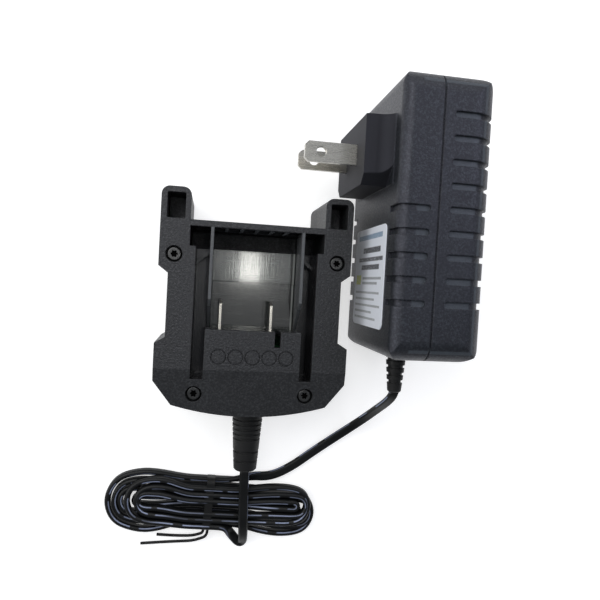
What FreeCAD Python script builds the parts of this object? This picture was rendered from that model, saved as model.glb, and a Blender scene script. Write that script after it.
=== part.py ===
import FreeCAD, Part
import math
import os

# Power tool battery charger: a slide-on battery cradle, a plug-in adapter that lies on its side next to it,
# and the flat twin lead between them, folded into a hank. Millimetres, +Z up.
# The origin is on the table, under the middle of the two housings.

Vector = FreeCAD.Vector
UP = Vector(0, 0, 1)

# Cradle, in its own frame: x across from its centre line, y from the tip of its cord boot, z from the table.
CRADLE_X = -18.0
CRADLE_Y = -64.9
CRADLE_HEIGHT = 28.0
CRADLE_SPLIT = 12.0
CRADLE_WALL = 1.8
WING_HALF = 30.8
POST_HALF = 30.6
RAIL_HALF = 27.6
CHIN_HALF = 25.0
CHIN_TIP_Y = 21.7
CHIN_Y = 25.4
WING_LOW_Y = 33.3
WING_HIGH_Y = 45.3
WAIST_LOW_Y = 47.2
WAIST_HIGH_Y = 67.2
POST_LOW_Y = 69.4
POST_TOP_Y = 94.1
POST_INNER = 21.4
POST_ROUND = 2.6
SLOPE_Y = 37.2
SLOPE_DROP = 3.2
BAR_TOP_Y = 84.2
BAR_INNER_Y = 82.3
POCKET_WIDTH = 5.6
POCKET_LENGTH = 8.0
POCKET_DEPTH = 12.0
POCKET_X = 25.9
POCKET_Y = 88.3

# Battery channel between the rails.
CHANNEL_HALF = 19.4
CHANNEL_LOW_Y = 34.1
CHANNEL_FLOOR = 14.0
CATCH_LOW_Y = 76.0
CATCH_FLOOR = 3.6
TONGUE_HALF = 15.4
TONGUE_TOP_Y = 50.0
RIB_OUTER = 15.0
RIB_THICK = 1.0
RIB_SLOPE_Y = 59.6
NOTCH_WIDTH = 1.9
NOTCH_LENGTH = 5.0
NOTCH_X = 7.85
MEDALLION_COUNT = 5
MEDALLION_PITCH = 5.4
MEDALLION_Y = 41.5
MEDALLION_RADIUS = 2.5
MEDALLION_GROOVE = 0.35
MEDALLION_DEPTH = 0.35
VENT_COUNT = 6
VENT_PITCH = 4.95
VENT_WIDTH = 3.9
VENT_LOW = 11.5
VENT_HIGH = 25.5
VENT_DEPTH = 1.1
STRUT_THICK = 1.5
STRUT_HIGH_Y = 77.0
STRUT_RISE = 3.6
STRUT_TOP = 19.5

# Screws that hold the cradle together, from its face into bosses of the back shell.
SCREW_PLACES = ((26.0, 73.2), (18.0, 29.2))
SCREW_HEAD_RADIUS = 2.25
SCREW_HEAD_HEIGHT = 1.7
SCREW_SHANK_RADIUS = 1.25
SCREW_RECESS_RADIUS = 1.15
SCREW_RECESS_DEPTH = 1.0
SCREW_END_Z = 4.6
COUNTERBORE_RADIUS = 2.6
COUNTERBORE_DEPTH = 2.6
BOSS_WALL = 1.5
HOLE_CLEARANCE = 0.1

# Terminal holder, contact blades and board of the cradle.
HOLDER_TOP = 16.4
HOLDER_STEP = 0.6
HOLDER_STEP_Y = 65.5
HOLDER_THICK = 2.4
CONTACT_PLACES = (-10.8, 5.7)
CONTACT_THICK = 0.8
CONTACT_LENGTH = 9.4
CONTACT_LOW = 18.2
CONTACT_HIGH = 23.6
CONTACT_ROOT = 3.2
CONTACT_SLOT_WIDTH = 1.6
CONTACT_SLOT_DEPTH = 1.4
CRADLE_BOARD = (36.0, 24.0, 1.6)
CRADLE_BOARD_Y = 31.0
CRADLE_BOARD_Z = 6.4

# Cord boots.
CRADLE_BOOT_X = 0.8
CRADLE_BOOT_Z = 11.0
CRADLE_BOOT_ROOT = 5.5
CRADLE_BOOT_TIP = 4.0
CRADLE_BOOT_GROOVES = (3.0, 4.7, 6.4, 8.1, 9.8, 14.4, 17.6)
CRADLE_BOOT_GROOVE_WIDTH = 0.8
ADAPTER_BOOT_ROOT = 3.5
ADAPTER_BOOT_TIP = 2.3
ADAPTER_BOOT_LENGTH = 13.4
ADAPTER_BOOT_GROOVES = (1.6, 4.1, 6.6, 9.1)
ADAPTER_BOOT_GROOVE_WIDTH = 1.1
BOOT_GROOVE_DEPTH = 0.55
BOOT_TIP_CUT = 0.5
BOOT_SEAT_WALL = 1.2
BOOT_SEAT_SLACK = 0.2
BOOT_SEAT_GROOVE_DEPTH = 1.2
FIT = 0.05

# Adapter, in its own frame: x from its plug face to its back, y along it from its middle, z from the table.
ADAPTER_X = 19.4
ADAPTER_Y = 22.4
ADAPTER_LENGTH = 85.0
ADAPTER_THICK = 29.4
ADAPTER_WIDTH = 52.4
ADAPTER_SPLIT = 12.0
ADAPTER_WALL = 2.0
ADAPTER_EDGE = 6.4
ADAPTER_BACK_ROUND = 7.8
ADAPTER_FRONT_ROUND = 4.4
ADAPTER_SIDE_ROUND = 3.2
ADAPTER_BOOT_X = 11.0
LIP_HEIGHT = 1.2
LIP_THICK = 0.8
SEAM_GAP = 0.5
SEAM_DEPTH = 0.4
GROOVE_COUNT = 9
GROOVE_PITCH = 6.91
GROOVE_FIRST_Y = 30.0
GROOVE_HEIGHT = 1.9
GROOVE_DEPTH = 0.9
BACK_GROOVE_X = 15.3
BACK_GROOVE_REACH = 10.0
FRONT_GROOVE_COUNT = 5
FRONT_GROOVE_X = 9.5
FRONT_GROOVE_REACH = 8.0
LABEL_WIDTH = 33.0
LABEL_LENGTH = 32.5
LABEL_THICK = 0.3
LABEL_MIDDLE_Y = -17.8
LABEL_CORNER = 2.0

# Plug: two flat blades to the usual household pattern, on a raised block with a flared foot.
PLUG_Y = 20.2
PLUG_RISE = 8.4
PLUG_LENGTH = 20.8
PLUG_HALF_WIDTH = 16.6
PLUG_FOOT = 4.6
PLUG_FOOT_RISE = 4.8
PLUG_CORNER = 3.0
BLADE_PITCH = 12.7
BLADE_WIDTH = 6.35
BLADE_THICK = 1.5
BLADE_LENGTH = 16.6
BLADE_HOLE_RADIUS = 1.6
BLADE_HOLE_FROM_TIP = 5.3
BLADE_TIP_CUT = 1.2
BLADE_ROOT = 9.0
HOLDER_WALL = 2.2

# Board and parts inside the adapter.
BOARD_THICK = 1.6
BOARD_END_GAP = 2.5
BOARD_SIDE_GAP = 3.2
BOARD_LENGTH = ADAPTER_LENGTH - 2 * ADAPTER_WALL - 2 * BOARD_END_GAP
BOARD_WIDTH = ADAPTER_WIDTH - 2 * ADAPTER_WALL - 2 * BOARD_SIDE_GAP
BOARD_X = 6.0
PART_GAP = 0.3
CORE_Y = -2.0
CORE_LENGTH = 22.0
CORE_WIDTH = 18.0
CORE_RISE = 17.0
CORE_YOKE = 3.0
CORE_FOOT = 3.4
CORE_LEG = 6.0
WINDING_GAP = 0.3
WINDING_LEG_GAP = 0.2
WINDING_OVERHANG = 2.5
INPUT_CAN_RADIUS = 6.4
INPUT_CAN_RISE = 16.0
INPUT_CAN_PLACE = (20.5, 8.5)
INPUT_CAN_ROUND = 0.8
OUTPUT_CAN_RADIUS = 4.5
OUTPUT_CAN_RISE = 12.0
OUTPUT_CAN_PLACE = (-20.5, -10.0)
OUTPUT_CAN_ROUND = 0.6
SINK_LOW_Y = -20.0
SINK_LENGTH = 28.0
SINK_Z = 12.0
SINK_THICK = 1.5
SINK_RISE = 15.0
FIN_COUNT = 4
FIN_FIRST = 2.0
FIN_PITCH = 7.5
FIN_THICK = 1.2
FIN_REACH = 2.5
TRANSISTOR_FROM_SINK_END = 4.0
TRANSISTOR_WIDTH = 6.0
TRANSISTOR_THICK = 2.8
TRANSISTOR_RISE = 9.0
BRIDGE_LOW = (27.0, -14.0)
BRIDGE_SIZE = (4.0, 12.0)
BRIDGE_RISE = 8.0
FUSE_RADIUS = 2.2
FUSE_RISE = 8.0
FUSE_PLACE = (20.5, -8.0)
FUSE_ROUND = 0.4
FILTER_LOW = (10.5, -17.0)
FILTER_SIZE = (6.0, 15.0)
FILTER_RISE = 10.0
MAINS_WIRE_RADIUS = 0.8
OUTPUT_WIRE_RADIUS = 0.7
OUTPUT_WIRE_RUN = 6.0
OUTPUT_WIRE_OFFSET = 1.0

# Flat twin lead. Its smaller side sets the tubes here: it is about 1.8 by 3.4 mm.
CORD_DIAMETER = 1.8
CORD_CENTRE_LOW = 1.7
CORD_CENTRE_HIGH = 5.1
HANK_X = -29.0
HANK_Y = -79.6
HANK_TURN = -3.5
HANK_STRANDS = 4
HANK_PITCH = 2.3
HANK_LEFT = (26.0, 21.0)
HANK_RIGHT = (32.0, 31.0)
HANK_LEFT_SPREAD = (2.3, 0.9)
HANK_RIGHT_SPREAD = (1.2, 1.2)
HANK_LEFT_SHIFT = (-1.0, 1.6)
HANK_RIGHT_SHIFT = (-1.5, 1.0)
HANK_STRAIGHT = 3.0
TIE_WIDTH = 2.8
TIE_THICK = 0.45
TIE_CLEAR = 0.15
TIE_TAIL = 1.0
TIE_TAILS = (
    (-0.75, 2.4, ((-4.5, -13.2, 1.9), (-11.0, -13.9, 0.9), (-17.2, -13.7, 0.9))),
    (0.75, 3.6, ((-4.0, -15.2, 1.6), (-12.5, -16.2, 0.9), (-22.5, -17.2, 0.9))),
)

ADAPTER_LEAD = (
    (30.4, -33.5, 26.2),
    (30.4, -36.0, 26.2),
    (30.0, -38.9, 22.4),
    (28.9, -42.4, 15.2),
    (26.0, -47.2, 8.4),
    (21.2, -52.2, 3.8),
    (15.0, -57.0, 1.9),
    (8.0, -61.6, 1.8),
    (0.6, -66.2, 1.8),
    (-6.8, -69.4, 1.8),
)
CRADLE_LEAD = (
    (-17.2, -64.9, 11.0),
    (-17.2, -69.6, 10.7),
    (-17.0, -76.8, 9.6),
    (-16.7, -84.4, 9.3),
    (-15.9, -91.5, 7.0),
    (-15.8, -95.8, 2.9),
    (-19.0, -96.2, 1.8),
    (-21.2, -92.4, 2.7),
)

PARTS = {}


def box(x0, y0, z0, x1, y1, z1):
    """A box from one corner to the opposite one."""
    return Part.makeBox(x1 - x0, y1 - y0, z1 - z0, Vector(x0, y0, z0))


def outline_face(points):
    """A flat face from a closed loop of points in the XY plane."""
    loop = [Vector(x, y, 0) for x, y in points]
    return Part.Face(Part.makePolygon(loop + [loop[0]]))


def prism(points, z0, z1):
    """A closed loop of points, drawn up from z0 to z1."""
    solid = outline_face(points).extrude(Vector(0, 0, z1 - z0))
    solid.translate(Vector(0, 0, z0))
    return solid


def rounded_rectangle(x0, y0, x1, y1, radius):
    """The wire of a rectangle with rounded corners; a tuple gives each corner its own radius, low left first."""
    radii = radius if isinstance(radius, tuple) else (radius,) * 4
    corners = [(x0, y0), (x1, y0), (x1, y1), (x0, y1)]
    inward = [(1, 1), (-1, 1), (-1, -1), (1, -1)]
    edges = []
    ends = []
    for index, ((x, y), (dx, dy), r) in enumerate(zip(corners, inward, radii)):
        along_x = Vector(x + dx * r, y, 0)
        along_y = Vector(x, y + dy * r, 0)
        first, last = (along_y, along_x) if index % 2 == 0 else (along_x, along_y)
        slant = r * (1 - math.sqrt(0.5))
        middle = Vector(x + dx * slant, y + dy * slant, 0)
        edges.append(Part.Arc(first, middle, last).toShape())
        ends.append((first, last))
    for index in range(4):
        edges.append(Part.makeLine(ends[index][1], ends[(index + 1) % 4][0]))
    return Part.Wire(Part.__sortEdges__(edges))


def rounded_block(x0, y0, x1, y1, radius, z0, z1):
    """An upright block with rounded corners."""
    solid = Part.Face(rounded_rectangle(x0, y0, x1, y1, radius)).extrude(Vector(0, 0, z1 - z0))
    solid.translate(Vector(0, 0, z0))
    return solid


def turned(shape, axis, degrees, centre=Vector(0, 0, 0)):
    """A turned copy."""
    copy = shape.copy()
    copy.rotate(centre, axis, degrees)
    return copy


def moved(shape, x, y, z):
    """A shifted copy."""
    copy = shape.copy()
    copy.translate(Vector(x, y, z))
    return copy


def fused(shapes):
    """Several shapes as one solid."""
    first, rest = shapes[0], shapes[1:]
    return first.multiFuse(rest).removeSplitter() if rest else first


def keep(name, shape, x=0.0, y=0.0):
    """Put a finished piece in its place on the table, under its name."""
    PARTS[name] = moved(shape, x, y, 0)


# Cradle housing.

def cradle_outline(inset=0.0):
    """The cradle's outline seen from above: posts at the top, wings, and a rounded chin at the cord."""
    def loop(side):
        return [
            (side * CHIN_HALF, CHIN_Y),
            (side * WING_HALF, WING_LOW_Y),
            (side * WING_HALF, WING_HIGH_Y),
            (side * RAIL_HALF, WAIST_LOW_Y),
            (side * RAIL_HALF, WAIST_HIGH_Y),
            (side * POST_HALF, POST_LOW_Y),
        ]
    edges = []
    for side in (1, -1):
        run = loop(side)
        for start, end in zip(run, run[1:]):
            edges.append(Part.makeLine(Vector(*start, 0), Vector(*end, 0)))
        slant = POST_ROUND * (1 - math.sqrt(0.5))
        outer = Vector(side * POST_HALF, POST_TOP_Y - POST_ROUND, 0)
        outer_top = Vector(side * (POST_HALF - POST_ROUND), POST_TOP_Y, 0)
        inner_top = Vector(side * (POST_INNER + POST_ROUND), POST_TOP_Y, 0)
        inner = Vector(side * POST_INNER, POST_TOP_Y - POST_ROUND, 0)
        outer_middle = Vector(side * (POST_HALF - slant), POST_TOP_Y - slant, 0)
        inner_middle = Vector(side * (POST_INNER + slant), POST_TOP_Y - slant, 0)
        edges.append(Part.makeLine(Vector(*run[-1], 0), outer))
        edges.append(Part.Arc(outer, outer_middle, outer_top).toShape())
        edges.append(Part.makeLine(outer_top, inner_top))
        edges.append(Part.Arc(inner_top, inner_middle, inner).toShape())
        edges.append(Part.makeLine(inner, Vector(side * POST_INNER, BAR_TOP_Y, 0)))
    edges.append(Part.makeLine(Vector(POST_INNER, BAR_TOP_Y, 0), Vector(-POST_INNER, BAR_TOP_Y, 0)))
    chin = Part.Arc(Vector(-CHIN_HALF, CHIN_Y, 0), Vector(0, CHIN_TIP_Y, 0), Vector(CHIN_HALF, CHIN_Y, 0))
    edges.append(chin.toShape())
    face = Part.Face(Part.Wire(Part.__sortEdges__(edges)))
    if inset:
        face = face.makeOffset2D(-inset)
    return face


def cradle_block(z0, z1, inset=0.0):
    """The outline as an upright block."""
    solid = cradle_outline(inset).extrude(Vector(0, 0, z1 - z0))
    solid.translate(Vector(0, 0, z0))
    return solid


def slope_cutter(drop=0.0):
    """What lies above the face where it slopes down to the chin."""
    top = CRADLE_HEIGHT - drop
    wide = 2 * WING_HALF
    side = [(SLOPE_Y, top), (0, top - SLOPE_DROP * SLOPE_Y / (SLOPE_Y - CHIN_TIP_Y)), (0, top + 9), (SLOPE_Y, top + 9)]
    loop = [Vector(-wide, y, z) for y, z in side]
    return Part.Face(Part.makePolygon(loop + [loop[0]])).extrude(Vector(2 * wide, 0, 0))


def slope_top(y):
    """Height of the cradle's face at a distance along it."""
    if y >= SLOPE_Y:
        return CRADLE_HEIGHT
    return CRADLE_HEIGHT - SLOPE_DROP * (SLOPE_Y - y) / (SLOPE_Y - CHIN_TIP_Y)


def screw_places():
    """The four screws, left and right."""
    return [(side * x, y) for x, y in SCREW_PLACES for side in (-1, 1)]


def channel_hollow(grow=0.0):
    """The space between the rails, down to its floors, grown by a wall where the inside is hollowed."""
    low = CHANNEL_FLOOR - grow
    top = CRADLE_HEIGHT + 1
    sides = box(-CHANNEL_HALF - grow, CHANNEL_LOW_Y - grow, low, CHANNEL_HALF + grow, CATCH_LOW_Y + grow, top)
    tongue = box(-TONGUE_HALF + grow, 0, low - 1, TONGUE_HALF - grow, TONGUE_TOP_Y - grow, top + 1)
    catch = box(-POST_INNER - grow, CATCH_LOW_Y - grow, -1, POST_INNER + grow, BAR_INNER_Y + grow, top)
    return sides.cut(tongue).fuse(catch)


def pocket_places():
    """The two upright pockets in the posts."""
    return [(side * POCKET_X, POCKET_Y) for side in (-1, 1)]


def pocket_block(x, y, grow, z0, z1):
    """A pocket in a post, or the walls round it."""
    half_x = POCKET_WIDTH / 2 + grow
    half_y = POCKET_LENGTH / 2 + grow
    return rounded_block(x - half_x, y - half_y, x + half_x, y + half_y, 0.4 + grow, z0, z1)


def boot_axis(shape, x, z):
    """Lay a shape that was turned about +Z along the cradle's +Y, on the boot's centre line."""
    lying = turned(shape, Vector(1, 0, 0), -90)
    return moved(lying, x, 0, z)


def guide_strut(side):
    """A slanted guide across one side channel, where the battery's foot drops in."""
    inner = RIB_OUTER
    outer = CHANNEL_HALF
    points = [
        (side * inner, STRUT_HIGH_Y - STRUT_THICK),
        (side * outer, STRUT_HIGH_Y - STRUT_THICK - STRUT_RISE),
        (side * outer, STRUT_HIGH_Y - STRUT_RISE - 2 * STRUT_THICK),
        (side * inner, STRUT_HIGH_Y - 2 * STRUT_THICK),
    ]
    return prism(points, CHANNEL_FLOOR, STRUT_TOP)


def channel_rib(side):
    """A thin upright rib beside the terminals, cut down at its free end."""
    x = side * (RIB_OUTER - RIB_THICK / 2)
    side_view = [
        (TONGUE_TOP_Y, CHANNEL_FLOOR),
        (BAR_INNER_Y, CHANNEL_FLOOR),
        (BAR_INNER_Y, CRADLE_HEIGHT),
        (RIB_SLOPE_Y, CRADLE_HEIGHT),
        (TONGUE_TOP_Y, HOLDER_TOP + CONTACT_SLOT_DEPTH),
    ]
    loop = [Vector(x - RIB_THICK / 2, y, z) for y, z in side_view]
    return Part.Face(Part.makePolygon(loop + [loop[0]])).extrude(Vector(RIB_THICK, 0, 0))


def make_front_shell():
    """The cradle's face: posts, rails, channel walls and tongue, hollow behind."""
    shell = cradle_block(CRADLE_SPLIT, CRADLE_HEIGHT)
    shell = shell.cut(slope_cutter())
    hollow = cradle_block(CRADLE_SPLIT - 1, CRADLE_HEIGHT - CRADLE_WALL, CRADLE_WALL)
    hollow = hollow.cut(slope_cutter(CRADLE_WALL))
    hollow = hollow.cut(channel_hollow(CRADLE_WALL))
    for x, y in pocket_places():
        low = CRADLE_HEIGHT - POCKET_DEPTH - CRADLE_WALL
        hollow = hollow.cut(pocket_block(x, y, CRADLE_WALL, low, CRADLE_HEIGHT))
    for x, y in screw_places():
        hollow = hollow.cut(Part.makeCylinder(COUNTERBORE_RADIUS + BOSS_WALL, CRADLE_HEIGHT, Vector(x, y, 0)))
    shell = shell.cut(hollow)
    shell = shell.cut(channel_hollow())
    for side in (-1, 1):
        shell = shell.fuse(channel_rib(side))
        shell = shell.fuse(guide_strut(side))
    holder_room = box(-RIB_OUTER + RIB_THICK - FIT, TONGUE_TOP_Y - CRADLE_WALL - FIT, CRADLE_SPLIT - 1,
                      RIB_OUTER - RIB_THICK + FIT, CATCH_LOW_Y + FIT, CRADLE_HEIGHT)
    tongue_wall = box(-TONGUE_HALF, 0, HOLDER_TOP + FIT, TONGUE_HALF, TONGUE_TOP_Y, CRADLE_HEIGHT + 1)
    shell = shell.cut(holder_room.cut(tongue_wall))
    cuts = []
    for x, y in pocket_places():
        cuts.append(pocket_block(x, y, 0, CRADLE_HEIGHT - POCKET_DEPTH, CRADLE_HEIGHT + 1))
    for x, y in screw_places():
        face = slope_top(y)
        cuts.append(Part.makeCylinder(COUNTERBORE_RADIUS, CRADLE_HEIGHT, Vector(x, y, face - COUNTERBORE_DEPTH)))
        cuts.append(Part.makeCylinder(SCREW_SHANK_RADIUS + HOLE_CLEARANCE, CRADLE_HEIGHT, Vector(x, y, 0)))
    for index in range(VENT_COUNT):
        x = (index - (VENT_COUNT - 1) / 2) * VENT_PITCH
        cuts.append(box(x - VENT_WIDTH / 2, BAR_INNER_Y - 1, VENT_LOW,
                        x + VENT_WIDTH / 2, BAR_INNER_Y + VENT_DEPTH, VENT_HIGH))
    cuts.append(box(NOTCH_X - NOTCH_WIDTH / 2, TONGUE_TOP_Y - NOTCH_LENGTH, HOLDER_TOP + FIT,
                    NOTCH_X + NOTCH_WIDTH / 2, TONGUE_TOP_Y + 1, CRADLE_HEIGHT + 1))
    for index in range(MEDALLION_COUNT):
        x = (index - (MEDALLION_COUNT - 1) / 2) * MEDALLION_PITCH
        low = CRADLE_HEIGHT - MEDALLION_DEPTH
        ring = Part.makeCylinder(MEDALLION_RADIUS, 1, Vector(x, MEDALLION_Y, low))
        cuts.append(ring.cut(Part.makeCylinder(MEDALLION_RADIUS - MEDALLION_GROOVE, 1, Vector(x, MEDALLION_Y, low))))
    for x in CONTACT_PLACES:
        cuts.append(box(x - CONTACT_THICK / 2 - FIT, TONGUE_TOP_Y - CRADLE_WALL - 1, CONTACT_LOW - FIT,
                        x + CONTACT_THICK / 2 + FIT, TONGUE_TOP_Y + 1, CONTACT_HIGH + FIT))
    for cutter in cuts:
        shell = shell.cut(cutter)
    seat = Part.makeCylinder(CRADLE_BOOT_ROOT - BOOT_SEAT_GROOVE_DEPTH + FIT, CHIN_Y + CRADLE_WALL)
    return shell.cut(boot_axis(seat, CRADLE_BOOT_X, CRADLE_BOOT_Z))


def make_back_shell():
    """The cradle's tray: a flat back to rest on, walls, and a boss under each screw."""
    shell = cradle_block(0, CRADLE_SPLIT)
    hollow = cradle_block(CRADLE_WALL, CRADLE_SPLIT + 1, CRADLE_WALL)
    for x, y in screw_places():
        boss = Part.makeCylinder(COUNTERBORE_RADIUS + BOSS_WALL, CRADLE_SPLIT, Vector(x, y, 0))
        hollow = hollow.cut(boss)
    catch_wall = box(-POST_INNER - CRADLE_WALL, CATCH_LOW_Y - CRADLE_WALL, 0,
                     POST_INNER + CRADLE_WALL, BAR_TOP_Y, CRADLE_SPLIT)
    hollow = hollow.cut(catch_wall)
    for side in (-1, 1):
        post_x = side * (CRADLE_BOARD[0] / 2 - 2)
        hollow = hollow.cut(Part.makeCylinder(1.6, CRADLE_BOARD_Z, Vector(post_x, CRADLE_BOARD_Y + 12, 0)))
    shell = shell.cut(hollow)
    shell = shell.cut(box(-POST_INNER, CATCH_LOW_Y, CATCH_FLOOR, POST_INNER, BAR_INNER_Y, CRADLE_SPLIT + 1))
    for x, y in screw_places():
        shell = shell.cut(Part.makeCylinder(SCREW_SHANK_RADIUS + HOLE_CLEARANCE, CRADLE_SPLIT,
                                            Vector(x, y, SCREW_END_Z - 1)))
    seat = Part.makeCylinder(CRADLE_BOOT_ROOT - BOOT_SEAT_GROOVE_DEPTH + FIT, CHIN_Y + CRADLE_WALL)
    return shell.cut(boot_axis(seat, CRADLE_BOOT_X, CRADLE_BOOT_Z))


def six_lobe(radius, depth, x, y, z):
    """A six-lobed driver recess."""
    core = Part.makeCylinder(radius * 0.72, depth, Vector(x, y, z))
    lobes = []
    for index in range(6):
        angle = math.radians(60 * index)
        place = Vector(x + radius * 0.72 * math.cos(angle), y + radius * 0.72 * math.sin(angle), z)
        lobes.append(Part.makeCylinder(radius * 0.28, depth, place))
    return core.multiFuse(lobes)


def make_screws():
    """Four round-headed screws with six-lobed recesses, as one group."""
    screws = []
    for x, y in screw_places():
        seat = slope_top(y) - COUNTERBORE_DEPTH
        head = Part.makeCylinder(SCREW_HEAD_RADIUS, SCREW_HEAD_HEIGHT, Vector(x, y, seat))
        head = head.makeFillet(0.5, [edge for edge in head.Edges if edge.BoundBox.ZMin > seat + 1])
        shank = Part.makeCylinder(SCREW_SHANK_RADIUS, seat - SCREW_END_Z, Vector(x, y, SCREW_END_Z))
        screw = head.fuse(shank).removeSplitter()
        recess_z = seat + SCREW_HEAD_HEIGHT - SCREW_RECESS_DEPTH
        screws.append(screw.cut(six_lobe(SCREW_RECESS_RADIUS, SCREW_RECESS_DEPTH + 1, x, y, recess_z)))
    return Part.makeCompound(screws)


def make_terminal_holder():
    """The polished insert between the ribs: the channel's floor, with a slot beside each blade."""
    half = RIB_OUTER - RIB_THICK - FIT
    low = HOLDER_TOP - HOLDER_THICK
    plate = box(-half, TONGUE_TOP_Y - CRADLE_WALL, low, half, CATCH_LOW_Y, HOLDER_TOP)
    plate = plate.cut(box(-half, 0, HOLDER_TOP - HOLDER_STEP, half, HOLDER_STEP_Y, HOLDER_TOP + 1))
    for x in CONTACT_PLACES:
        right = x - CONTACT_THICK / 2
        plate = plate.cut(box(right - CONTACT_SLOT_WIDTH, TONGUE_TOP_Y, HOLDER_TOP - CONTACT_SLOT_DEPTH,
                              right, TONGUE_TOP_Y + CONTACT_LENGTH, HOLDER_TOP + 1))
        leg_y = TONGUE_TOP_Y - CRADLE_WALL
        plate = plate.cut(box(x - CONTACT_THICK / 2 - FIT, leg_y - 1, low - 1,
                              x + CONTACT_THICK / 2 + FIT, leg_y + CONTACT_THICK + FIT, HOLDER_TOP + 1))
    return plate


def make_contact(x):
    """A flat contact blade that stands out of the tongue's wall, with a leg down to the board."""
    tip = TONGUE_TOP_Y + CONTACT_LENGTH
    root = TONGUE_TOP_Y - CRADLE_WALL - CONTACT_ROOT
    x0 = x - CONTACT_THICK / 2
    cut = 1.2
    side_view = [
        (root, CONTACT_LOW),
        (root, CRADLE_BOARD_Z + CRADLE_BOARD[2]),
        (root + 2, CRADLE_BOARD_Z + CRADLE_BOARD[2]),
        (root + 2, CONTACT_LOW),
        (tip - cut, CONTACT_LOW),
        (tip, CONTACT_LOW + cut),
        (tip, CONTACT_HIGH - cut),
        (tip - cut, CONTACT_HIGH),
        (root, CONTACT_HIGH),
    ]
    loop = [Vector(x0, y, z) for y, z in side_view]
    return Part.Face(Part.makePolygon(loop + [loop[0]])).extrude(Vector(CONTACT_THICK, 0, 0))


def make_cradle_inside():
    """The cradle's board, what stands on it and the two wires from the boot."""
    wide, long, thick = CRADLE_BOARD
    top = CRADLE_BOARD_Z + thick
    board = box(-wide / 2, CRADLE_BOARD_Y, CRADLE_BOARD_Z, wide / 2, CRADLE_BOARD_Y + long, top)
    for x, y in screw_places():
        board = board.cut(Part.makeCylinder(COUNTERBORE_RADIUS + BOSS_WALL + PART_GAP, 30, Vector(x, y, 0)))
    keep("cradle_circuit_board", board, CRADLE_X, CRADLE_Y)
    chip = box(-3, CRADLE_BOARD_Y + 7, top, 2, CRADLE_BOARD_Y + 12, top + 1.5)
    keep("charge_control_chip", chip, CRADLE_X, CRADLE_Y)
    can = Part.makeCylinder(2.5, 5.5, Vector(9, CRADLE_BOARD_Y + 9, top))
    can = can.makeFillet(0.4, can.Edges)
    keep("smoothing_capacitor", can, CRADLE_X, CRADLE_Y)
    wires = []
    start_y = CHIN_TIP_Y + CRADLE_WALL + BOOT_SEAT_WALL + PART_GAP
    for side in (-1, 1):
        x = CRADLE_BOOT_X + side
        run = Part.makeCylinder(0.7, CRADLE_BOARD_Y + 3 - start_y, Vector(x, start_y, CRADLE_BOOT_Z), Vector(0, 1, 0))
        drop = Part.makeCylinder(0.7, CRADLE_BOOT_Z - top, Vector(x, CRADLE_BOARD_Y + 3, top))
        elbow = Part.makeSphere(0.7, Vector(x, CRADLE_BOARD_Y + 3, CRADLE_BOOT_Z))
        wires.append(run.fuse(elbow).fuse(drop).removeSplitter())
    keep("cradle_lead_wires", Part.makeCompound(wires), CRADLE_X, CRADLE_Y)


def grooved_boot(root, tip, length, grooves, width, seat, bore):
    """A strain relief turned about +Z: a seat groove that the shells clamp, then a taper cut by rings."""
    inner = root - BOOT_SEAT_GROOVE_DEPTH
    low = -seat - BOOT_SEAT_WALL
    points = [(bore, low), (root, low), (root, -seat), (inner, -seat), (inner, 0), (root, 0)]

    def radius(at):
        return root + (tip - root) * at / length

    for start in grooves:
        end = start + width
        points += [(radius(start), start), (radius(start) - BOOT_GROOVE_DEPTH, start)]
        points += [(radius(end) - BOOT_GROOVE_DEPTH, end), (radius(end), end)]
    points += [(tip, length - BOOT_TIP_CUT), (tip - BOOT_TIP_CUT, length), (bore, length)]
    loop = [Vector(r, 0, z) for r, z in points]
    face = Part.Face(Part.makePolygon(loop + [loop[0]]))
    return face.revolve(Vector(0, 0, 0), UP, 360)


def make_boots():
    """The two strain reliefs, each clamped between its housing's shells."""
    bore = CORD_DIAMETER / 2
    boot = grooved_boot(CRADLE_BOOT_ROOT, CRADLE_BOOT_TIP, CHIN_TIP_Y, CRADLE_BOOT_GROOVES,
                        CRADLE_BOOT_GROOVE_WIDTH, CRADLE_WALL + BOOT_SEAT_SLACK, bore)
    lying = turned(boot, Vector(1, 0, 0), 90)
    lying = moved(lying, CRADLE_BOOT_X, CHIN_TIP_Y, CRADLE_BOOT_Z)
    keep("cradle_cord_boot", lying, CRADLE_X, CRADLE_Y)
    boot = grooved_boot(ADAPTER_BOOT_ROOT, ADAPTER_BOOT_TIP, ADAPTER_BOOT_LENGTH, ADAPTER_BOOT_GROOVES,
                        ADAPTER_BOOT_GROOVE_WIDTH, ADAPTER_WALL, bore)
    lying = turned(boot, Vector(1, 0, 0), 90)
    lying = moved(lying, ADAPTER_BOOT_X, -ADAPTER_LENGTH / 2, ADAPTER_WIDTH / 2)
    keep("adapter_cord_boot", lying, ADAPTER_X, ADAPTER_Y)


# Adapter housing.

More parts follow.
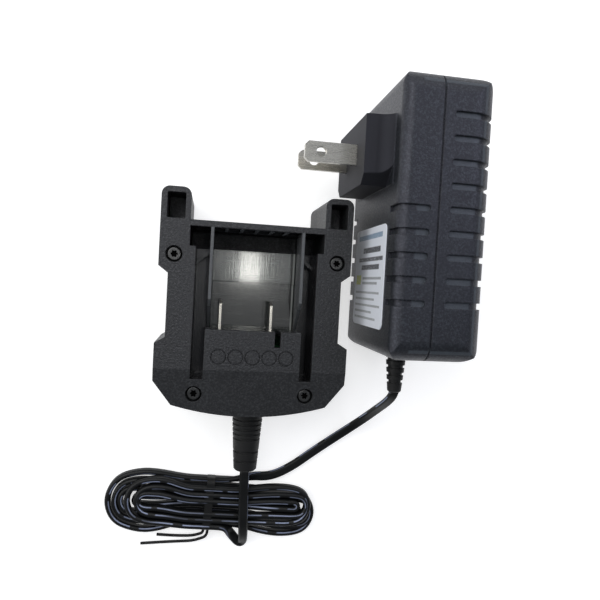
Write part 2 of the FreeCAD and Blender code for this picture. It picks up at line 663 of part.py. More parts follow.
def adapter_body(inset=0.0):
    """The adapter's outer form, or the same form drawn in by a wall: three rounded outlines that meet."""
    half = ADAPTER_LENGTH / 2
    back = ADAPTER_BACK_ROUND - inset
    front = max(ADAPTER_FRONT_ROUND - inset, 0.4)
    side = max(ADAPTER_SIDE_ROUND - inset, 0.4)
    edge = max(ADAPTER_EDGE - inset, 0.4)
    x0, x1 = inset, ADAPTER_THICK - inset
    y0, y1 = inset - half, half - inset
    z0, z1 = inset, ADAPTER_WIDTH - inset
    above = rounded_block(x0, y0, x1, y1, (front, back, back, front), z0, z1)
    beside = Part.Face(rounded_rectangle(x0, z0, x1, z1, (side, back, back, side)))
    beside = turned(beside, Vector(1, 0, 0), 90).extrude(Vector(0, -(y1 - y0), 0))
    beside = moved(beside, 0, y1, 0)
    ahead = Part.Face(rounded_rectangle(y0, z0, y1, z1, edge))
    ahead.rotate(Vector(0, 0, 0), Vector(1, 0, 0), 90)
    ahead.rotate(Vector(0, 0, 0), UP, 90)
    ahead = moved(ahead.extrude(Vector(x1 - x0, 0, 0)), x0, 0, 0)
    return above.common(beside).common(ahead)


def groove_slot(y, x0, x1, z0, z1):
    """One moulded groove as a round-ended slot seen from above."""
    half = GROOVE_HEIGHT / 2
    return rounded_block(x0, y - half, x1, y + half, half * 0.98, z0, z1)


def plug_block():
    """The raised block under the blades: a flared foot towards each side, and a slanted lower corner."""
    middle = ADAPTER_WIDTH / 2
    half = PLUG_HALF_WIDTH
    foot = half + PLUG_FOOT
    rise = PLUG_FOOT_RISE
    edges = []
    corners = {}
    for side in (1, -1):
        top = Vector(-PLUG_RISE, 0, middle + side * half)
        knee = Vector(-rise, 0, middle + side * (half + 0.3))
        bottom = Vector(0.5, 0, middle + side * foot)
        bulge = Vector(-rise * 0.24, 0, middle + side * (half + PLUG_FOOT * 0.34))
        edges.append(Part.makeLine(top, knee))
        edges.append(Part.Arc(knee, bulge, bottom).toShape())
        corners[side] = (top, bottom)
    edges.append(Part.makeLine(corners[1][0], corners[-1][0]))
    edges.append(Part.makeLine(corners[1][1], corners[-1][1]))
    face = Part.Face(Part.Wire(Part.__sortEdges__(edges)))
    block = moved(face.extrude(Vector(0, PLUG_LENGTH, 0)), 0, PLUG_Y - PLUG_LENGTH / 2, 0)
    for side in (1, -1):
        z = middle + side * half
        low = PLUG_Y - PLUG_LENGTH / 2
        loop = [Vector(-PLUG_RISE - 1, low, z - side * PLUG_CORNER), Vector(-PLUG_RISE - 1, low, z + side * 9),
                Vector(-PLUG_RISE - 1, low + PLUG_CORNER * 4, z + side * 9)]
        block = block.cut(Part.Face(Part.makePolygon(loop + [loop[0]])).extrude(Vector(PLUG_RISE + 0.8, 0, 0)))
    return block


def seam_ring(x0, x1, inset):
    """A band right round the adapter between two distances from its plug face, cut to a depth."""
    slab = box(x0, -ADAPTER_LENGTH, -10, x1, ADAPTER_LENGTH, ADAPTER_WIDTH + 10)
    return slab.cut(adapter_body(inset))


def adapter_cavity():
    """The adapter's inside."""
    return adapter_body(ADAPTER_WALL)


def boot_seat():
    """The round gap that both adapter shells leave for the boot."""
    radius = ADAPTER_BOOT_ROOT - BOOT_SEAT_GROOVE_DEPTH + FIT
    return Part.makeCylinder(radius, ADAPTER_WALL + 2, Vector(ADAPTER_BOOT_X, -ADAPTER_LENGTH / 2 - 1,
                                                            ADAPTER_WIDTH / 2), Vector(0, 1, 0))


def blade_places():
    """Heights of the two plug blades."""
    middle = ADAPTER_WIDTH / 2
    return (middle + BLADE_PITCH / 2, middle - BLADE_PITCH / 2)


def make_adapter_front():
    """The shell with the plug block, the label's seat and five grooves each side."""
    shell = adapter_body().common(box(-1, -ADAPTER_LENGTH, -1, ADAPTER_SPLIT, ADAPTER_LENGTH, ADAPTER_WIDTH + 1))
    shell = shell.fuse(plug_block())
    shell = shell.cut(adapter_cavity())
    room = box(-PLUG_RISE + HOLDER_WALL, PLUG_Y - PLUG_LENGTH / 2 + HOLDER_WALL, 0, ADAPTER_WALL + 1,
               PLUG_Y + PLUG_LENGTH / 2 - HOLDER_WALL, ADAPTER_WIDTH)
    room = room.common(box(-99, -99, ADAPTER_WIDTH / 2 - PLUG_HALF_WIDTH + 2 * HOLDER_WALL, 99, 99,
                           ADAPTER_WIDTH / 2 + PLUG_HALF_WIDTH - 2 * HOLDER_WALL))
    shell = shell.cut(room)
    shell = shell.cut(seam_ring(ADAPTER_SPLIT - SEAM_GAP / 2, ADAPTER_SPLIT + SEAM_GAP / 2, SEAM_DEPTH))
    skin = adapter_body(GROOVE_DEPTH)
    for index in range(FRONT_GROOVE_COUNT):
        y = GROOVE_FIRST_Y - (GROOVE_COUNT - FRONT_GROOVE_COUNT + index) * GROOVE_PITCH
        for z0, z1 in ((-2, FRONT_GROOVE_REACH), (ADAPTER_WIDTH - FRONT_GROOVE_REACH, ADAPTER_WIDTH + 2)):
            shell = shell.cut(groove_slot(y, -3, FRONT_GROOVE_X, z0, z1).cut(skin))
    for z in blade_places():
        shell = shell.cut(box(-PLUG_RISE - 1, PLUG_Y - BLADE_WIDTH / 2 - FIT, z - BLADE_THICK / 2 - FIT,
                              -PLUG_RISE + HOLDER_WALL + 1, PLUG_Y + BLADE_WIDTH / 2 + FIT, z + BLADE_THICK / 2 + FIT))
    return shell.cut(boot_seat())


def make_adapter_back():
    """The deep shell with nine grooves each side."""
    shell = adapter_body().common(box(ADAPTER_SPLIT, -ADAPTER_LENGTH, -1, ADAPTER_THICK + 1,
                                      ADAPTER_LENGTH, ADAPTER_WIDTH + 1))
    shell = shell.cut(adapter_cavity())
    shell = shell.cut(seam_ring(ADAPTER_SPLIT - SEAM_GAP / 2, ADAPTER_SPLIT + SEAM_GAP / 2, SEAM_DEPTH))
    skin = adapter_body(GROOVE_DEPTH)
    for index in range(GROOVE_COUNT):
        y = GROOVE_FIRST_Y - index * GROOVE_PITCH
        for z0, z1 in ((-2, BACK_GROOVE_REACH), (ADAPTER_WIDTH - BACK_GROOVE_REACH, ADAPTER_WIDTH + 2)):
            shell = shell.cut(groove_slot(y, BACK_GROOVE_X, ADAPTER_THICK + 3, z0, z1).cut(skin))
    return shell.cut(boot_seat())


def make_plug_blade(z):
    """One plug blade: chamfered tip, round hole, and a root that the holder grips."""
    tip = -PLUG_RISE - BLADE_LENGTH
    y0, y1 = PLUG_Y - BLADE_WIDTH / 2, PLUG_Y + BLADE_WIDTH / 2
    points = [
        (tip, y0 + BLADE_TIP_CUT),
        (tip + BLADE_TIP_CUT, y0),
        (-PLUG_RISE + BLADE_ROOT, y0),
        (-PLUG_RISE + BLADE_ROOT, y1),
        (tip + BLADE_TIP_CUT, y1),
        (tip, y1 - BLADE_TIP_CUT),
    ]
    blade = prism(points, z - BLADE_THICK / 2, z + BLADE_THICK / 2)
    hole = Part.makeCylinder(BLADE_HOLE_RADIUS, BLADE_THICK + 2,
                             Vector(tip + BLADE_HOLE_FROM_TIP, PLUG_Y, z - BLADE_THICK / 2 - 1))
    return blade.cut(hole)


def make_blade_holder():
    """The insulating carrier behind the plug face, with a slot for each blade."""
    x0 = -PLUG_RISE + HOLDER_WALL
    y0 = PLUG_Y - PLUG_LENGTH / 2 + HOLDER_WALL + FIT
    y1 = PLUG_Y + PLUG_LENGTH / 2 - HOLDER_WALL - FIT
    z0 = ADAPTER_WIDTH / 2 - PLUG_HALF_WIDTH + 2 * HOLDER_WALL + FIT
    z1 = ADAPTER_WIDTH / 2 + PLUG_HALF_WIDTH - 2 * HOLDER_WALL - FIT
    body = rounded_block(x0, y0, x0 + 4.0, y1, 0.5, z0, z1)
    for z in blade_places():
        body = body.cut(box(x0 - 1, PLUG_Y - BLADE_WIDTH / 2 - FIT, z - BLADE_THICK / 2 - FIT,
                            x0 + 9, PLUG_Y + BLADE_WIDTH / 2 + FIT, z + BLADE_THICK / 2 + FIT))
    return body


def make_label():
    """The label: a thin rounded plate on the plug face."""
    y0 = LABEL_MIDDLE_Y - LABEL_LENGTH / 2
    z0 = (ADAPTER_WIDTH - LABEL_WIDTH) / 2
    outline = rounded_rectangle(y0, z0, y0 + LABEL_LENGTH, z0 + LABEL_WIDTH, LABEL_CORNER)
    face = Part.Face(outline)
    face.rotate(Vector(0, 0, 0), Vector(1, 0, 0), 90)
    face.rotate(Vector(0, 0, 0), UP, 90)
    return face.extrude(Vector(-LABEL_THICK, 0, 0))


def lying_cylinder(radius, length, x, y, z, axis):
    """A round part laid along an axis."""
    return Part.makeCylinder(radius, length, Vector(x, y, z), axis)


def board_block(low, size, rise):
    """A block that stands on the adapter's board: its low corner and size in the board's plane, and its rise."""
    middle = ADAPTER_WIDTH / 2
    top = BOARD_X + BOARD_THICK
    return box(top, low[0], middle + low[1], top + rise, low[0] + size[0], middle + low[1] + size[1])


def board_can(radius, rise, place, edge):
    """A round part that stands on the adapter's board."""
    start = Vector(BOARD_X + BOARD_THICK, place[0], ADAPTER_WIDTH / 2 + place[1])
    can = Part.makeCylinder(radius, rise, start, Vector(1, 0, 0))
    return can.makeFillet(edge, can.Edges)


def make_transformer():
    """The core with its middle leg, and the winding round that leg."""
    middle = ADAPTER_WIDTH / 2
    top = BOARD_X + BOARD_THICK
    high = min(top + CORE_RISE, ADAPTER_THICK - ADAPTER_WALL - PART_GAP)
    y, half, half_z = CORE_Y, CORE_LENGTH / 2, CORE_WIDTH / 2
    inner, leg_half = half - CORE_YOKE, CORE_LEG / 2
    low, lid = top + CORE_FOOT, high - CORE_YOKE
    outer = box(top + PART_GAP, y - half, middle - half_z, high, y + half, middle + half_z)
    window = box(low, y - inner, middle - half_z - 1, lid, y + inner, middle + half_z + 1)
    leg = box(low, y - leg_half, middle - half_z, lid, y + leg_half, middle + half_z)
    keep("transformer_core", outer.cut(window).fuse(leg).removeSplitter(), ADAPTER_X, ADAPTER_Y)
    reach, reach_z = inner - WINDING_GAP, half_z + WINDING_OVERHANG
    winding = box(low + WINDING_GAP, y - reach, middle - reach_z, lid - WINDING_GAP, y + reach, middle + reach_z)
    hole, hole_z = leg_half + WINDING_LEG_GAP, half_z + WINDING_LEG_GAP
    winding = winding.cut(box(top, y - hole, middle - hole_z, high, y + hole, middle + hole_z))
    keep("transformer_winding", winding, ADAPTER_X, ADAPTER_Y)


def make_heat_sink():
    """The finned sink, and the transistor pressed against its plain side."""
    sink = board_block((SINK_LOW_Y, SINK_Z), (SINK_LENGTH, SINK_THICK), SINK_RISE)
    for index in range(FIN_COUNT):
        fin_y = SINK_LOW_Y + FIN_FIRST + index * FIN_PITCH
        sink = sink.fuse(board_block((fin_y, SINK_Z + SINK_THICK), (FIN_THICK, FIN_REACH), SINK_RISE))
    keep("heat_sink", sink.removeSplitter(), ADAPTER_X, ADAPTER_Y)
    low = (SINK_LOW_Y + TRANSISTOR_FROM_SINK_END, SINK_Z - TRANSISTOR_THICK)
    transistor = board_block(low, (TRANSISTOR_WIDTH, TRANSISTOR_THICK), TRANSISTOR_RISE)
    keep("switching_transistor", transistor, ADAPTER_X, ADAPTER_Y)


def make_adapter_wires():
    """Wires from the plug blades to the board, and from the board to the cord boot."""
    middle = ADAPTER_WIDTH / 2
    top = BOARD_X + BOARD_THICK
    across = Vector(1, 0, 0)
    start = -PLUG_RISE + BLADE_ROOT
    wires = [lying_cylinder(MAINS_WIRE_RADIUS, BOARD_X - start, start, PLUG_Y, z, across) for z in blade_places()]
    keep("mains_wires", Part.makeCompound(wires), ADAPTER_X, ADAPTER_Y)
    wires = []
    radius = OUTPUT_WIRE_RADIUS
    seat_end = -ADAPTER_LENGTH / 2 + ADAPTER_WALL + BOOT_SEAT_WALL
    turn_y = seat_end + OUTPUT_WIRE_RUN
    for side in (-1, 1):
        z = middle + side * OUTPUT_WIRE_OFFSET
        run = lying_cylinder(radius, OUTPUT_WIRE_RUN, ADAPTER_BOOT_X, seat_end, z, Vector(0, 1, 0))
        elbow = Part.makeSphere(radius, Vector(ADAPTER_BOOT_X, turn_y, z))
        drop = lying_cylinder(radius, ADAPTER_BOOT_X - top, top, turn_y, z, across)
        wires.append(run.fuse(elbow).fuse(drop).removeSplitter())
    keep("output_wires", Part.makeCompound(wires), ADAPTER_X, ADAPTER_Y)


def make_adapter_inside():
    """The adapter's board and the parts that stand on it, towards the back shell."""
    high = ADAPTER_THICK - ADAPTER_WALL - PART_GAP
    room = high - BOARD_X - BOARD_THICK
    board = box(BOARD_X, -BOARD_LENGTH / 2, (ADAPTER_WIDTH - BOARD_WIDTH) / 2,
                BOARD_X + BOARD_THICK, BOARD_LENGTH / 2, (ADAPTER_WIDTH + BOARD_WIDTH) / 2)
    keep("adapter_circuit_board", board, ADAPTER_X, ADAPTER_Y)
    make_transformer()
    can = board_can(INPUT_CAN_RADIUS, min(INPUT_CAN_RISE, room), INPUT_CAN_PLACE, INPUT_CAN_ROUND)
    keep("input_capacitor", can, ADAPTER_X, ADAPTER_Y)
    can = board_can(OUTPUT_CAN_RADIUS, OUTPUT_CAN_RISE, OUTPUT_CAN_PLACE, OUTPUT_CAN_ROUND)
    keep("output_capacitor", can, ADAPTER_X, ADAPTER_Y)
    make_heat_sink()
    keep("rectifier_bridge", board_block(BRIDGE_LOW, BRIDGE_SIZE, BRIDGE_RISE), ADAPTER_X, ADAPTER_Y)
    keep("fuse", board_can(FUSE_RADIUS, FUSE_RISE, FUSE_PLACE, FUSE_ROUND), ADAPTER_X, ADAPTER_Y)
    keep("mains_filter_capacitor", board_block(FILTER_LOW, FILTER_SIZE, FILTER_RISE), ADAPTER_X, ADAPTER_Y)
    make_adapter_wires()


# Cord.

def tube(wire, start, direction, radius):
    """A round tube along a wire."""
    ring = Part.Wire(Part.Circle(start, direction, radius).toShape())
    return wire.makePipeShell([ring], True, False)


def rounded_route(points):
    """A wire of straight runs joined by tangent arcs as large as the runs allow, and the arcs' radii."""
    nodes = [Vector(*point) for point in points]
    edges = []
    radii = []
    start = nodes[0]
    for before, corner, after in zip(nodes, nodes[1:], nodes[2:]):
        into = (corner - before).normalize()
        out = (after - corner).normalize()
        turn = into.getAngle(out)
        shorter = min(before.distanceToPoint(corner), corner.distanceToPoint(after))
        reach = 0.45 * shorter
        radii.append(reach / math.tan(turn / 2))
        enter = corner - into * reach
        leave = corner + out * reach
        inward = (out - into).normalize()
        middle = corner + inward * (radii[-1] / math.cos(turn / 2) - radii[-1])
        edges.append(Part.LineSegment(start, enter).toShape())
        edges.append(Part.Arc(enter, middle, leave).toShape())
        start = leave
    edges.append(Part.LineSegment(start, nodes[-1]).toShape())
    return Part.Wire(edges), radii


def route_tube(points, diameter):
    """A round tube along a rounded route, with the route and its radii."""
    wire, radii = rounded_route(points)
    start = Vector(*points[0])
    heading = Vector(*points[1]) - start
    return tube(wire, start, heading, diameter / 2), wire, radii


def lead_tube(points, name):
    """A free stretch of cord."""
    solid, wire, radii = route_tube(points, CORD_DIAMETER)
    expected = math.pi * CORD_DIAMETER ** 2 / 4 * wire.Length
    print(name, "length", round(wire.Length, 1), "radii", [round(r, 1) for r in radii],
          "volume ratio", round(solid.Volume / expected, 4))
    return solid


def hank_place(along, across, z):
    """A point of the hank's own frame, along its runs and across them, on the table."""
    angle = math.radians(HANK_TURN)
    x = HANK_X + along * math.cos(angle) - across * math.sin(angle)
    y = HANK_Y + along * math.sin(angle) + across * math.cos(angle)
    return Vector(x, y, z)


def strand(index):
    """Distance of a strand from the hank's middle at its waist, the outermost first."""
    return (HANK_STRANDS - index - 0.5) * HANK_PITCH


class HankPath:
    """The hank's centre line, one tangent piece after another."""

    def __init__(self, along, across, z):
        self.here = (along, across, z)
        self.edges = []
        self.samples = []

    def line(self, along, across, z):
        """A straight piece."""
        self.edges.append(Part.LineSegment(hank_place(*self.here), hank_place(along, across, z)).toShape())
        self.here = (along, across, z)

    def arc(self, middle, end):
        """An arc through a middle point."""
        curve = Part.Arc(hank_place(*self.here), hank_place(*middle), hank_place(*end))
        self.edges.append(curve.toShape())
        self.here = end

    def sway(self, along, across, z):
        """Two equal arcs that shift the run sideways or up and leave it parallel to itself."""
        x0, y0, z0 = self.here
        length = along - x0
        shift = math.hypot(across - y0, z - z0)
        if shift < 1e-6:
            self.line(along, across, z)
            return
        side = ((across - y0) / shift, (z - z0) / shift)
        turn = 2 * math.atan2(shift, abs(length))
        radius = abs(length) / (2 * math.sin(turn))
        quarter = radius * math.sin(turn / 2)
        lift = radius * (1 - math.cos(turn / 2))
        sign = 1 if length > 0 else -1
        first = (x0 + sign * quarter, y0 + side[0] * lift, z0 + side[1] * lift)
        half = (x0 + length / 2, (y0 + across) / 2, (z0 + z) / 2)
        last = (along - sign * quarter, across - side[0] * lift, z - side[1] * lift)
        self.arc(first, half)
        self.arc(last, (along, across, z))

    def half_turn(self, side, across):
        """A half turn at an end of the hank, in two quarter arcs."""
        x0, y0, z0 = self.here
        radius = abs(across - y0) / 2
        centre = (y0 + across) / 2
        near = math.sqrt(0.5) * radius
        step = 1 if across > y0 else -1
        self.arc((x0 + side * near, centre - step * near, z0), (x0 + side * radius, centre, z0))
        self.arc((x0 + side * near, centre + step * near, z0), (x0, across, z0))


def hank_path():
    """Spiral in on the table, climb one layer along the innermost run, and spiral out again."""
    path = HankPath(HANK_STRAIGHT, strand(0), CORD_CENTRE_LOW)

    def lobe(side, come, go, z_turn):
        layer = 1 if z_turn == CORD_CENTRE_HIGH else 0
        reach = -HANK_LEFT[layer] if side < 0 else HANK_RIGHT[layer]
        spread = HANK_LEFT_SPREAD[layer] if side < 0 else HANK_RIGHT_SPREAD[layer]
        shift = HANK_LEFT_SHIFT[layer] if side < 0 else HANK_RIGHT_SHIFT[layer]
        path.line(side * HANK_STRAIGHT, come, path.here[2])
        path.sway(reach, come + math.copysign(spread, come) + shift, z_turn)
        path.half_turn(side, go + math.copysign(spread, go) + shift)
        path.sway(side * HANK_STRAIGHT, go, z_turn)

    low, high = CORD_CENTRE_LOW, CORD_CENTRE_HIGH
    last = HANK_STRANDS - 1
    for index in range(last):
        lobe(-1, strand(index), -strand(index), low)
        lobe(1, -strand(index), strand(index + 1), low)
    lobe(-1, strand(last), -strand(last), low)
    lobe(1, -strand(last), strand(last), high)
    for index in range(last, 1, -1):
        lobe(-1, strand(index), -strand(index - 1), high)
        lobe(1, -strand(index - 1), strand(index - 1), high)
    lobe(-1, strand(1), -strand(0), high)
    path.line(HANK_STRAIGHT, -strand(0), high)
    return path


def least_gap(wire, diameter):
    """The least clear distance of the tube to itself, measured on points along its centre line."""
    points = wire.discretize(Distance=0.9)
    skip = int(math.ceil(4 * diameter / 0.9))
    least = 1e9
    for index, point in enumerate(points):
        for other in points[index + skip:]:
            gap = point.distanceToPoint(other)
            if gap < least:
                least = gap
    return least - diameter


def make_cord():
    """The two free leads and the hank between them."""
    path = hank_path()
    wire = Part.Wire(path.edges)
    start = wire.Edges[0].Vertexes[0].Point
    heading = hank_place(HANK_STRAIGHT - 1, strand(0), CORD_CENTRE_LOW) - hank_place(HANK_STRAIGHT, strand(0),
                                                                                  CORD_CENTRE_LOW)
    hank = tube(wire, start, heading, CORD_DIAMETER / 2)
    print("hank length", round(wire.Length, 1), "least gap", round(least_gap(wire, CORD_DIAMETER), 2),
          "volume ratio", round(hank.Volume / (math.pi * CORD_DIAMETER ** 2 / 4 * wire.Length), 4))
    keep("cord_hank", hank)
    along = HANK_STRAIGHT
    joins = [(along + 11.5, strand(0) + 1.9, CORD_CENTRE_LOW), (along + 5.4, strand(0), CORD_CENTRE_LOW),
             (along, strand(0), CORD_CENTRE_LOW)]
    route = list(ADAPTER_LEAD) + [tuple(hank_place(*join)) for join in joins]
    keep("cord_adapter_lead", lead_tube(route, "adapter lead"))
    joins = [(along + 4.0, -strand(0), CORD_CENTRE_HIGH), (along, -strand(0), CORD_CENTRE_HIGH)]
    route = list(CRADLE_LEAD) + [tuple(hank_place(*join)) for join in joins]
    keep("cord_cradle_lead", lead_tube(route, "cradle lead"))


def make_twist_tie():
    """A flat band round the hank's waist, with two thin tails."""
    reach = strand(0) + CORD_DIAMETER / 2 + TIE_CLEAR
    low = CORD_CENTRE_LOW - CORD_DIAMETER / 2 - TIE_CLEAR
    high = CORD_CENTRE_HIGH + CORD_DIAMETER / 2 + TIE_CLEAR
    outer = rounded_rectangle(-reach - TIE_THICK, low - TIE_THICK, reach + TIE_THICK, high + TIE_THICK, 2.0)
    inner = rounded_rectangle(-reach, low, reach, high, 2.0 - TIE_THICK)
    band = Part.Face(outer).extrude(Vector(0, 0, TIE_WIDTH)).cut(Part.Face(inner).extrude(Vector(0, 0, TIE_WIDTH)))
    band.rotate(Vector(0, 0, 0), Vector(1, 0, 0), 90)
    band.rotate(Vector(0, 0, 0), UP, 90)
    band = moved(band, -TIE_WIDTH / 2, 0, 0)
    middle = (low + high) / 2
    tie = band
    for x, first, rest in TIE_TAILS:
        start = (x, -reach - TIE_THICK / 2, middle)
        points = [start, (x - 0.2, -reach - first, middle - 0.3)] + list(rest)
        tie = tie.fuse(route_tube(points, TIE_TAIL)[0])
    tie.rotate(Vector(0, 0, 0), UP, HANK_TURN)
    return moved(tie, HANK_X, HANK_Y, 0)


def build():
    """Every piece, written to its own file."""
    keep("cradle_front_shell", make_front_shell(), CRADLE_X, CRADLE_Y)
    keep("cradle_back_shell", make_back_shell(), CRADLE_X, CRADLE_Y)
    keep("cradle_screws", make_screws(), CRADLE_X, CRADLE_Y)
    keep("terminal_holder", make_terminal_holder(), CRADLE_X, CRADLE_Y)
    for name, x in zip(("contact_blade_left", "contact_blade_right"), CONTACT_PLACES):
        keep(name, make_contact(x), CRADLE_X, CRADLE_Y)
    make_cradle_inside()
    make_boots()
    keep("adapter_front_shell", make_adapter_front(), ADAPTER_X, ADAPTER_Y)
    keep("adapter_back_shell", make_adapter_back(), ADAPTER_X, ADAPTER_Y)
    for name, z in zip(("plug_blade_upper", "plug_blade_lower"), blade_places()):
        keep(name, make_plug_blade(z), ADAPTER_X, ADAPTER_Y)
    keep("blade_holder", make_blade_holder(), ADAPTER_X, ADAPTER_Y)
    keep("adapter_label", make_label(), ADAPTER_X, ADAPTER_Y)
    make_adapter_inside()
    make_cord()
    keep("twist_tie", make_twist_tie())
    os.makedirs("parts", exist_ok=True)
    for name, shape in PARTS.items():
        if not shape.isValid():
            print("not valid:", name)
        shape.exportStep("parts/" + name + ".step")
        print(name, "solids", len(shape.Solids), "volume", round(shape.Volume, 1))


build()
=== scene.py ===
# %% [markdown]
# # A power tool battery charger
# A slide-on battery cradle lies on its back. A plug-in adapter lies on its side next to it, and a flat twin
# lead joins them, folded into a hank with a twist tie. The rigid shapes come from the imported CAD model.
# This script gives them their finishes, models the flat lead, and draws the bars on the label.

# %% Load the fixed frame
import math

import bpy
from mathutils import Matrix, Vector


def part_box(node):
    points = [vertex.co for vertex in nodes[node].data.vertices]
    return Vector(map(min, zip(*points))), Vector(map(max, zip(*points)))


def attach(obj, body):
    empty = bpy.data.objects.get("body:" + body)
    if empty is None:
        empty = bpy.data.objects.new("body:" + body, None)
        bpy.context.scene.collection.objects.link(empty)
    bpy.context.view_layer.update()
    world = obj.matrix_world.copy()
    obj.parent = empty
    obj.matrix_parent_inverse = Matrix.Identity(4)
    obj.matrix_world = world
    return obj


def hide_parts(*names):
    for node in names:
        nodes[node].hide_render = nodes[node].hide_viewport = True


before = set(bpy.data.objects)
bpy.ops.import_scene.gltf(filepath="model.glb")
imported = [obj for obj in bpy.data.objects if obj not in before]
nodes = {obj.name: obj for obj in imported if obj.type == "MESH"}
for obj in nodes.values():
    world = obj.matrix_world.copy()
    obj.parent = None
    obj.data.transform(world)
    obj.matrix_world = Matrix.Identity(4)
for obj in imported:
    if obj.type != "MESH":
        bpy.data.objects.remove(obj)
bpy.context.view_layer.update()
scene = bpy.context.scene
scene.view_settings.view_transform = "Standard"
MM = 0.001
print("CAD nodes:", len(nodes))

# %% [markdown]
# ## Camera
# The photograph was taken from close above, almost straight down, so the adapter's tall side leans away
# from the point under the lens. The place, tilt and lens below were fitted to the corners of the housings
# and the blades. A short distance with this lens gives the strong perspective; a far camera with a long
# lens would flatten it.

# %% Camera
SENSOR_WIDTH = 36.0
FOCAL_LENGTH = 33.22
NEAREST_SEEN = 0.005
CAMERA_PLACE = (-0.03294, 0.00069, 0.204085)
CAMERA_TILT = (-0.0360321, -0.1630573, 0.0559069)

camera_data = bpy.data.cameras.new("camera")
camera_data.sensor_width = SENSOR_WIDTH
camera_data.lens = FOCAL_LENGTH
camera_data.clip_start = NEAREST_SEEN
camera = bpy.data.objects.new("camera", camera_data)
camera.location = CAMERA_PLACE
camera.rotation_euler = CAMERA_TILT
scene.collection.objects.link(camera)
scene.camera = camera
print("camera height", round(camera.location.z, 3))

# %% [markdown]
# ## Lead and hank
# The lead leaves the adapter's boot, falls to the table, runs to the tie, goes round the hank in two
# layers, drops off its near edge, folds up there and comes back over the bundle to the cradle's boot. The
# fold and the innermost turns are sharper than a real lead of this thickness would lie. One smooth spline
# carries the whole route. The points of the two free leads are given: they keep close to the CAD
# tube, but ease its straight runs. All places here are in millimetres.

# %% Free leads
ADAPTER_LEAD = [
    (30.4, -33.5, 26.2), (30.3, -35.0, 25.6), (29.5, -38.2, 21.6), (28.2, -42.2, 15.0), (25.6, -47.2, 8.4),
    (21.2, -52.2, 3.8), (15.2, -57.0, 1.9), (8.2, -61.8, 1.8), (0.8, -67.2, 1.8), (-6.8, -70.8, 1.8),
]
CRADLE_LEAD = [
    (-17.2, -64.9, 11.0), (-17.2, -69.6, 10.7), (-17.0, -76.8, 9.6), (-16.7, -84.4, 9.3), (-16.2, -91.0, 6.4),
    (-16.1, -94.6, 2.9), (-17.5, -95.2, 1.9), (-20.2, -91.9, 2.6),
]
print("points of the free leads:", len(ADAPTER_LEAD), "and", len(CRADLE_LEAD))

# %% [markdown]
# ## Turns of the hank
# Each strand lies one pitch inside its neighbour, so a loop works the turns out. A hank is never even: the
# two ends open by different amounts in each layer, and every end reaches a little more or less far than the
# last. The hank has a frame of its own, along its length and across it, and one function lays that on the
# table.

# %% Frame of the hank
HANK_MIDDLE = (-29.0, -79.6)
HANK_TURN = math.radians(-3.5)
STRANDS = 4
PITCH = 2.3


def in_hank(along, across, z):
    """A point of the hank's own frame, on the table."""
    c, s = math.cos(HANK_TURN), math.sin(HANK_TURN)
    return (HANK_MIDDLE[0] + along * c - across * s, HANK_MIDDLE[1] + along * s + across * c, z)


def strand(index):
    """How far a strand lies from the hank's middle at the tie."""
    return (STRANDS - index - 0.5) * PITCH


print("strands from", strand(0), "to", strand(STRANDS - 1), "mm off the middle")

# %% One end of the hank
# Each pair below is for the low and the high layer.
LOW, HIGH = 1.7, 5.1
LEFT_REACH, RIGHT_REACH = (26.0, 21.0), (32.0, 31.0)
LEFT_SPREAD, RIGHT_SPREAD = (2.3, 0.9), (1.2, 1.2)
LEFT_SHIFT, RIGHT_SHIFT = (-1.0, 1.6), (-1.5, 1.0)
STRAIGHT = 3.0
NEAR_SHARE, FAR_SHARE = 0.30, 0.70
STRAY, STRAY_START, STRAY_STEP = 1.3, 28.8, 26.4
TURN_STEPS = 4
BULGE = 1.05
TIGHT_RADIUS, TIGHT_LEG = 3.0, 0.8


def lobe(points, number, side, come, go, z_come, z_turn):
    """One end of the hank: out from the tie, round the end, and back to the tie. A tight turn has one more
    point on each leg, so that the spline rounds it evenly."""
    layer = 0 if z_turn == LOW else 1
    reach = (LEFT_REACH if side < 0 else RIGHT_REACH)[layer]
    reach += STRAY * math.sin(STRAY_START + STRAY_STEP * number)
    spread = (LEFT_SPREAD if side < 0 else RIGHT_SPREAD)[layer] / strand(0)
    shift = (LEFT_SHIFT if side < 0 else RIGHT_SHIFT)[layer]
    out = come * (1 + spread) + shift
    back = go * (1 + spread) + shift
    middle, radius = (out + back) / 2, abs(back - out) / 2
    turn = 1 if back > out else -1
    near = STRAIGHT + (reach - STRAIGHT) * NEAR_SHARE
    far = STRAIGHT + (reach - STRAIGHT) * FAR_SHARE
    leg = reach - radius * TIGHT_LEG
    tight = radius < TIGHT_RADIUS
    points.append(in_hank(side * STRAIGHT, come, z_come))
    points.append(in_hank(side * near, come, z_come))
    points.append(in_hank(side * far, out, z_turn))
    if tight:
        points.append(in_hank(side * leg, out, z_turn))
    for step in range(TURN_STEPS + 1):
        angle = math.pi * (step / TURN_STEPS - 0.5) * turn
        grow = radius * (BULGE if step % TURN_STEPS else 1.0)
        along, across = reach + grow * math.cos(angle), middle + grow * math.sin(angle)
        points.append(in_hank(side * along, across, z_turn))
    if tight:
        points.append(in_hank(side * leg, back, z_turn))
    points.append(in_hank(side * far, back, z_turn))
    points.append(in_hank(side * near, go, z_turn))
    points.append(in_hank(side * STRAIGHT, go, z_turn))


print("reach to the left", LEFT_REACH, "and to the right", RIGHT_REACH)

# %% Whole route
JOIN_FAR, JOIN_FAR_OUT, JOIN_NEAR = 11.5, 1.9, 5.4
LEAVE = 4.0

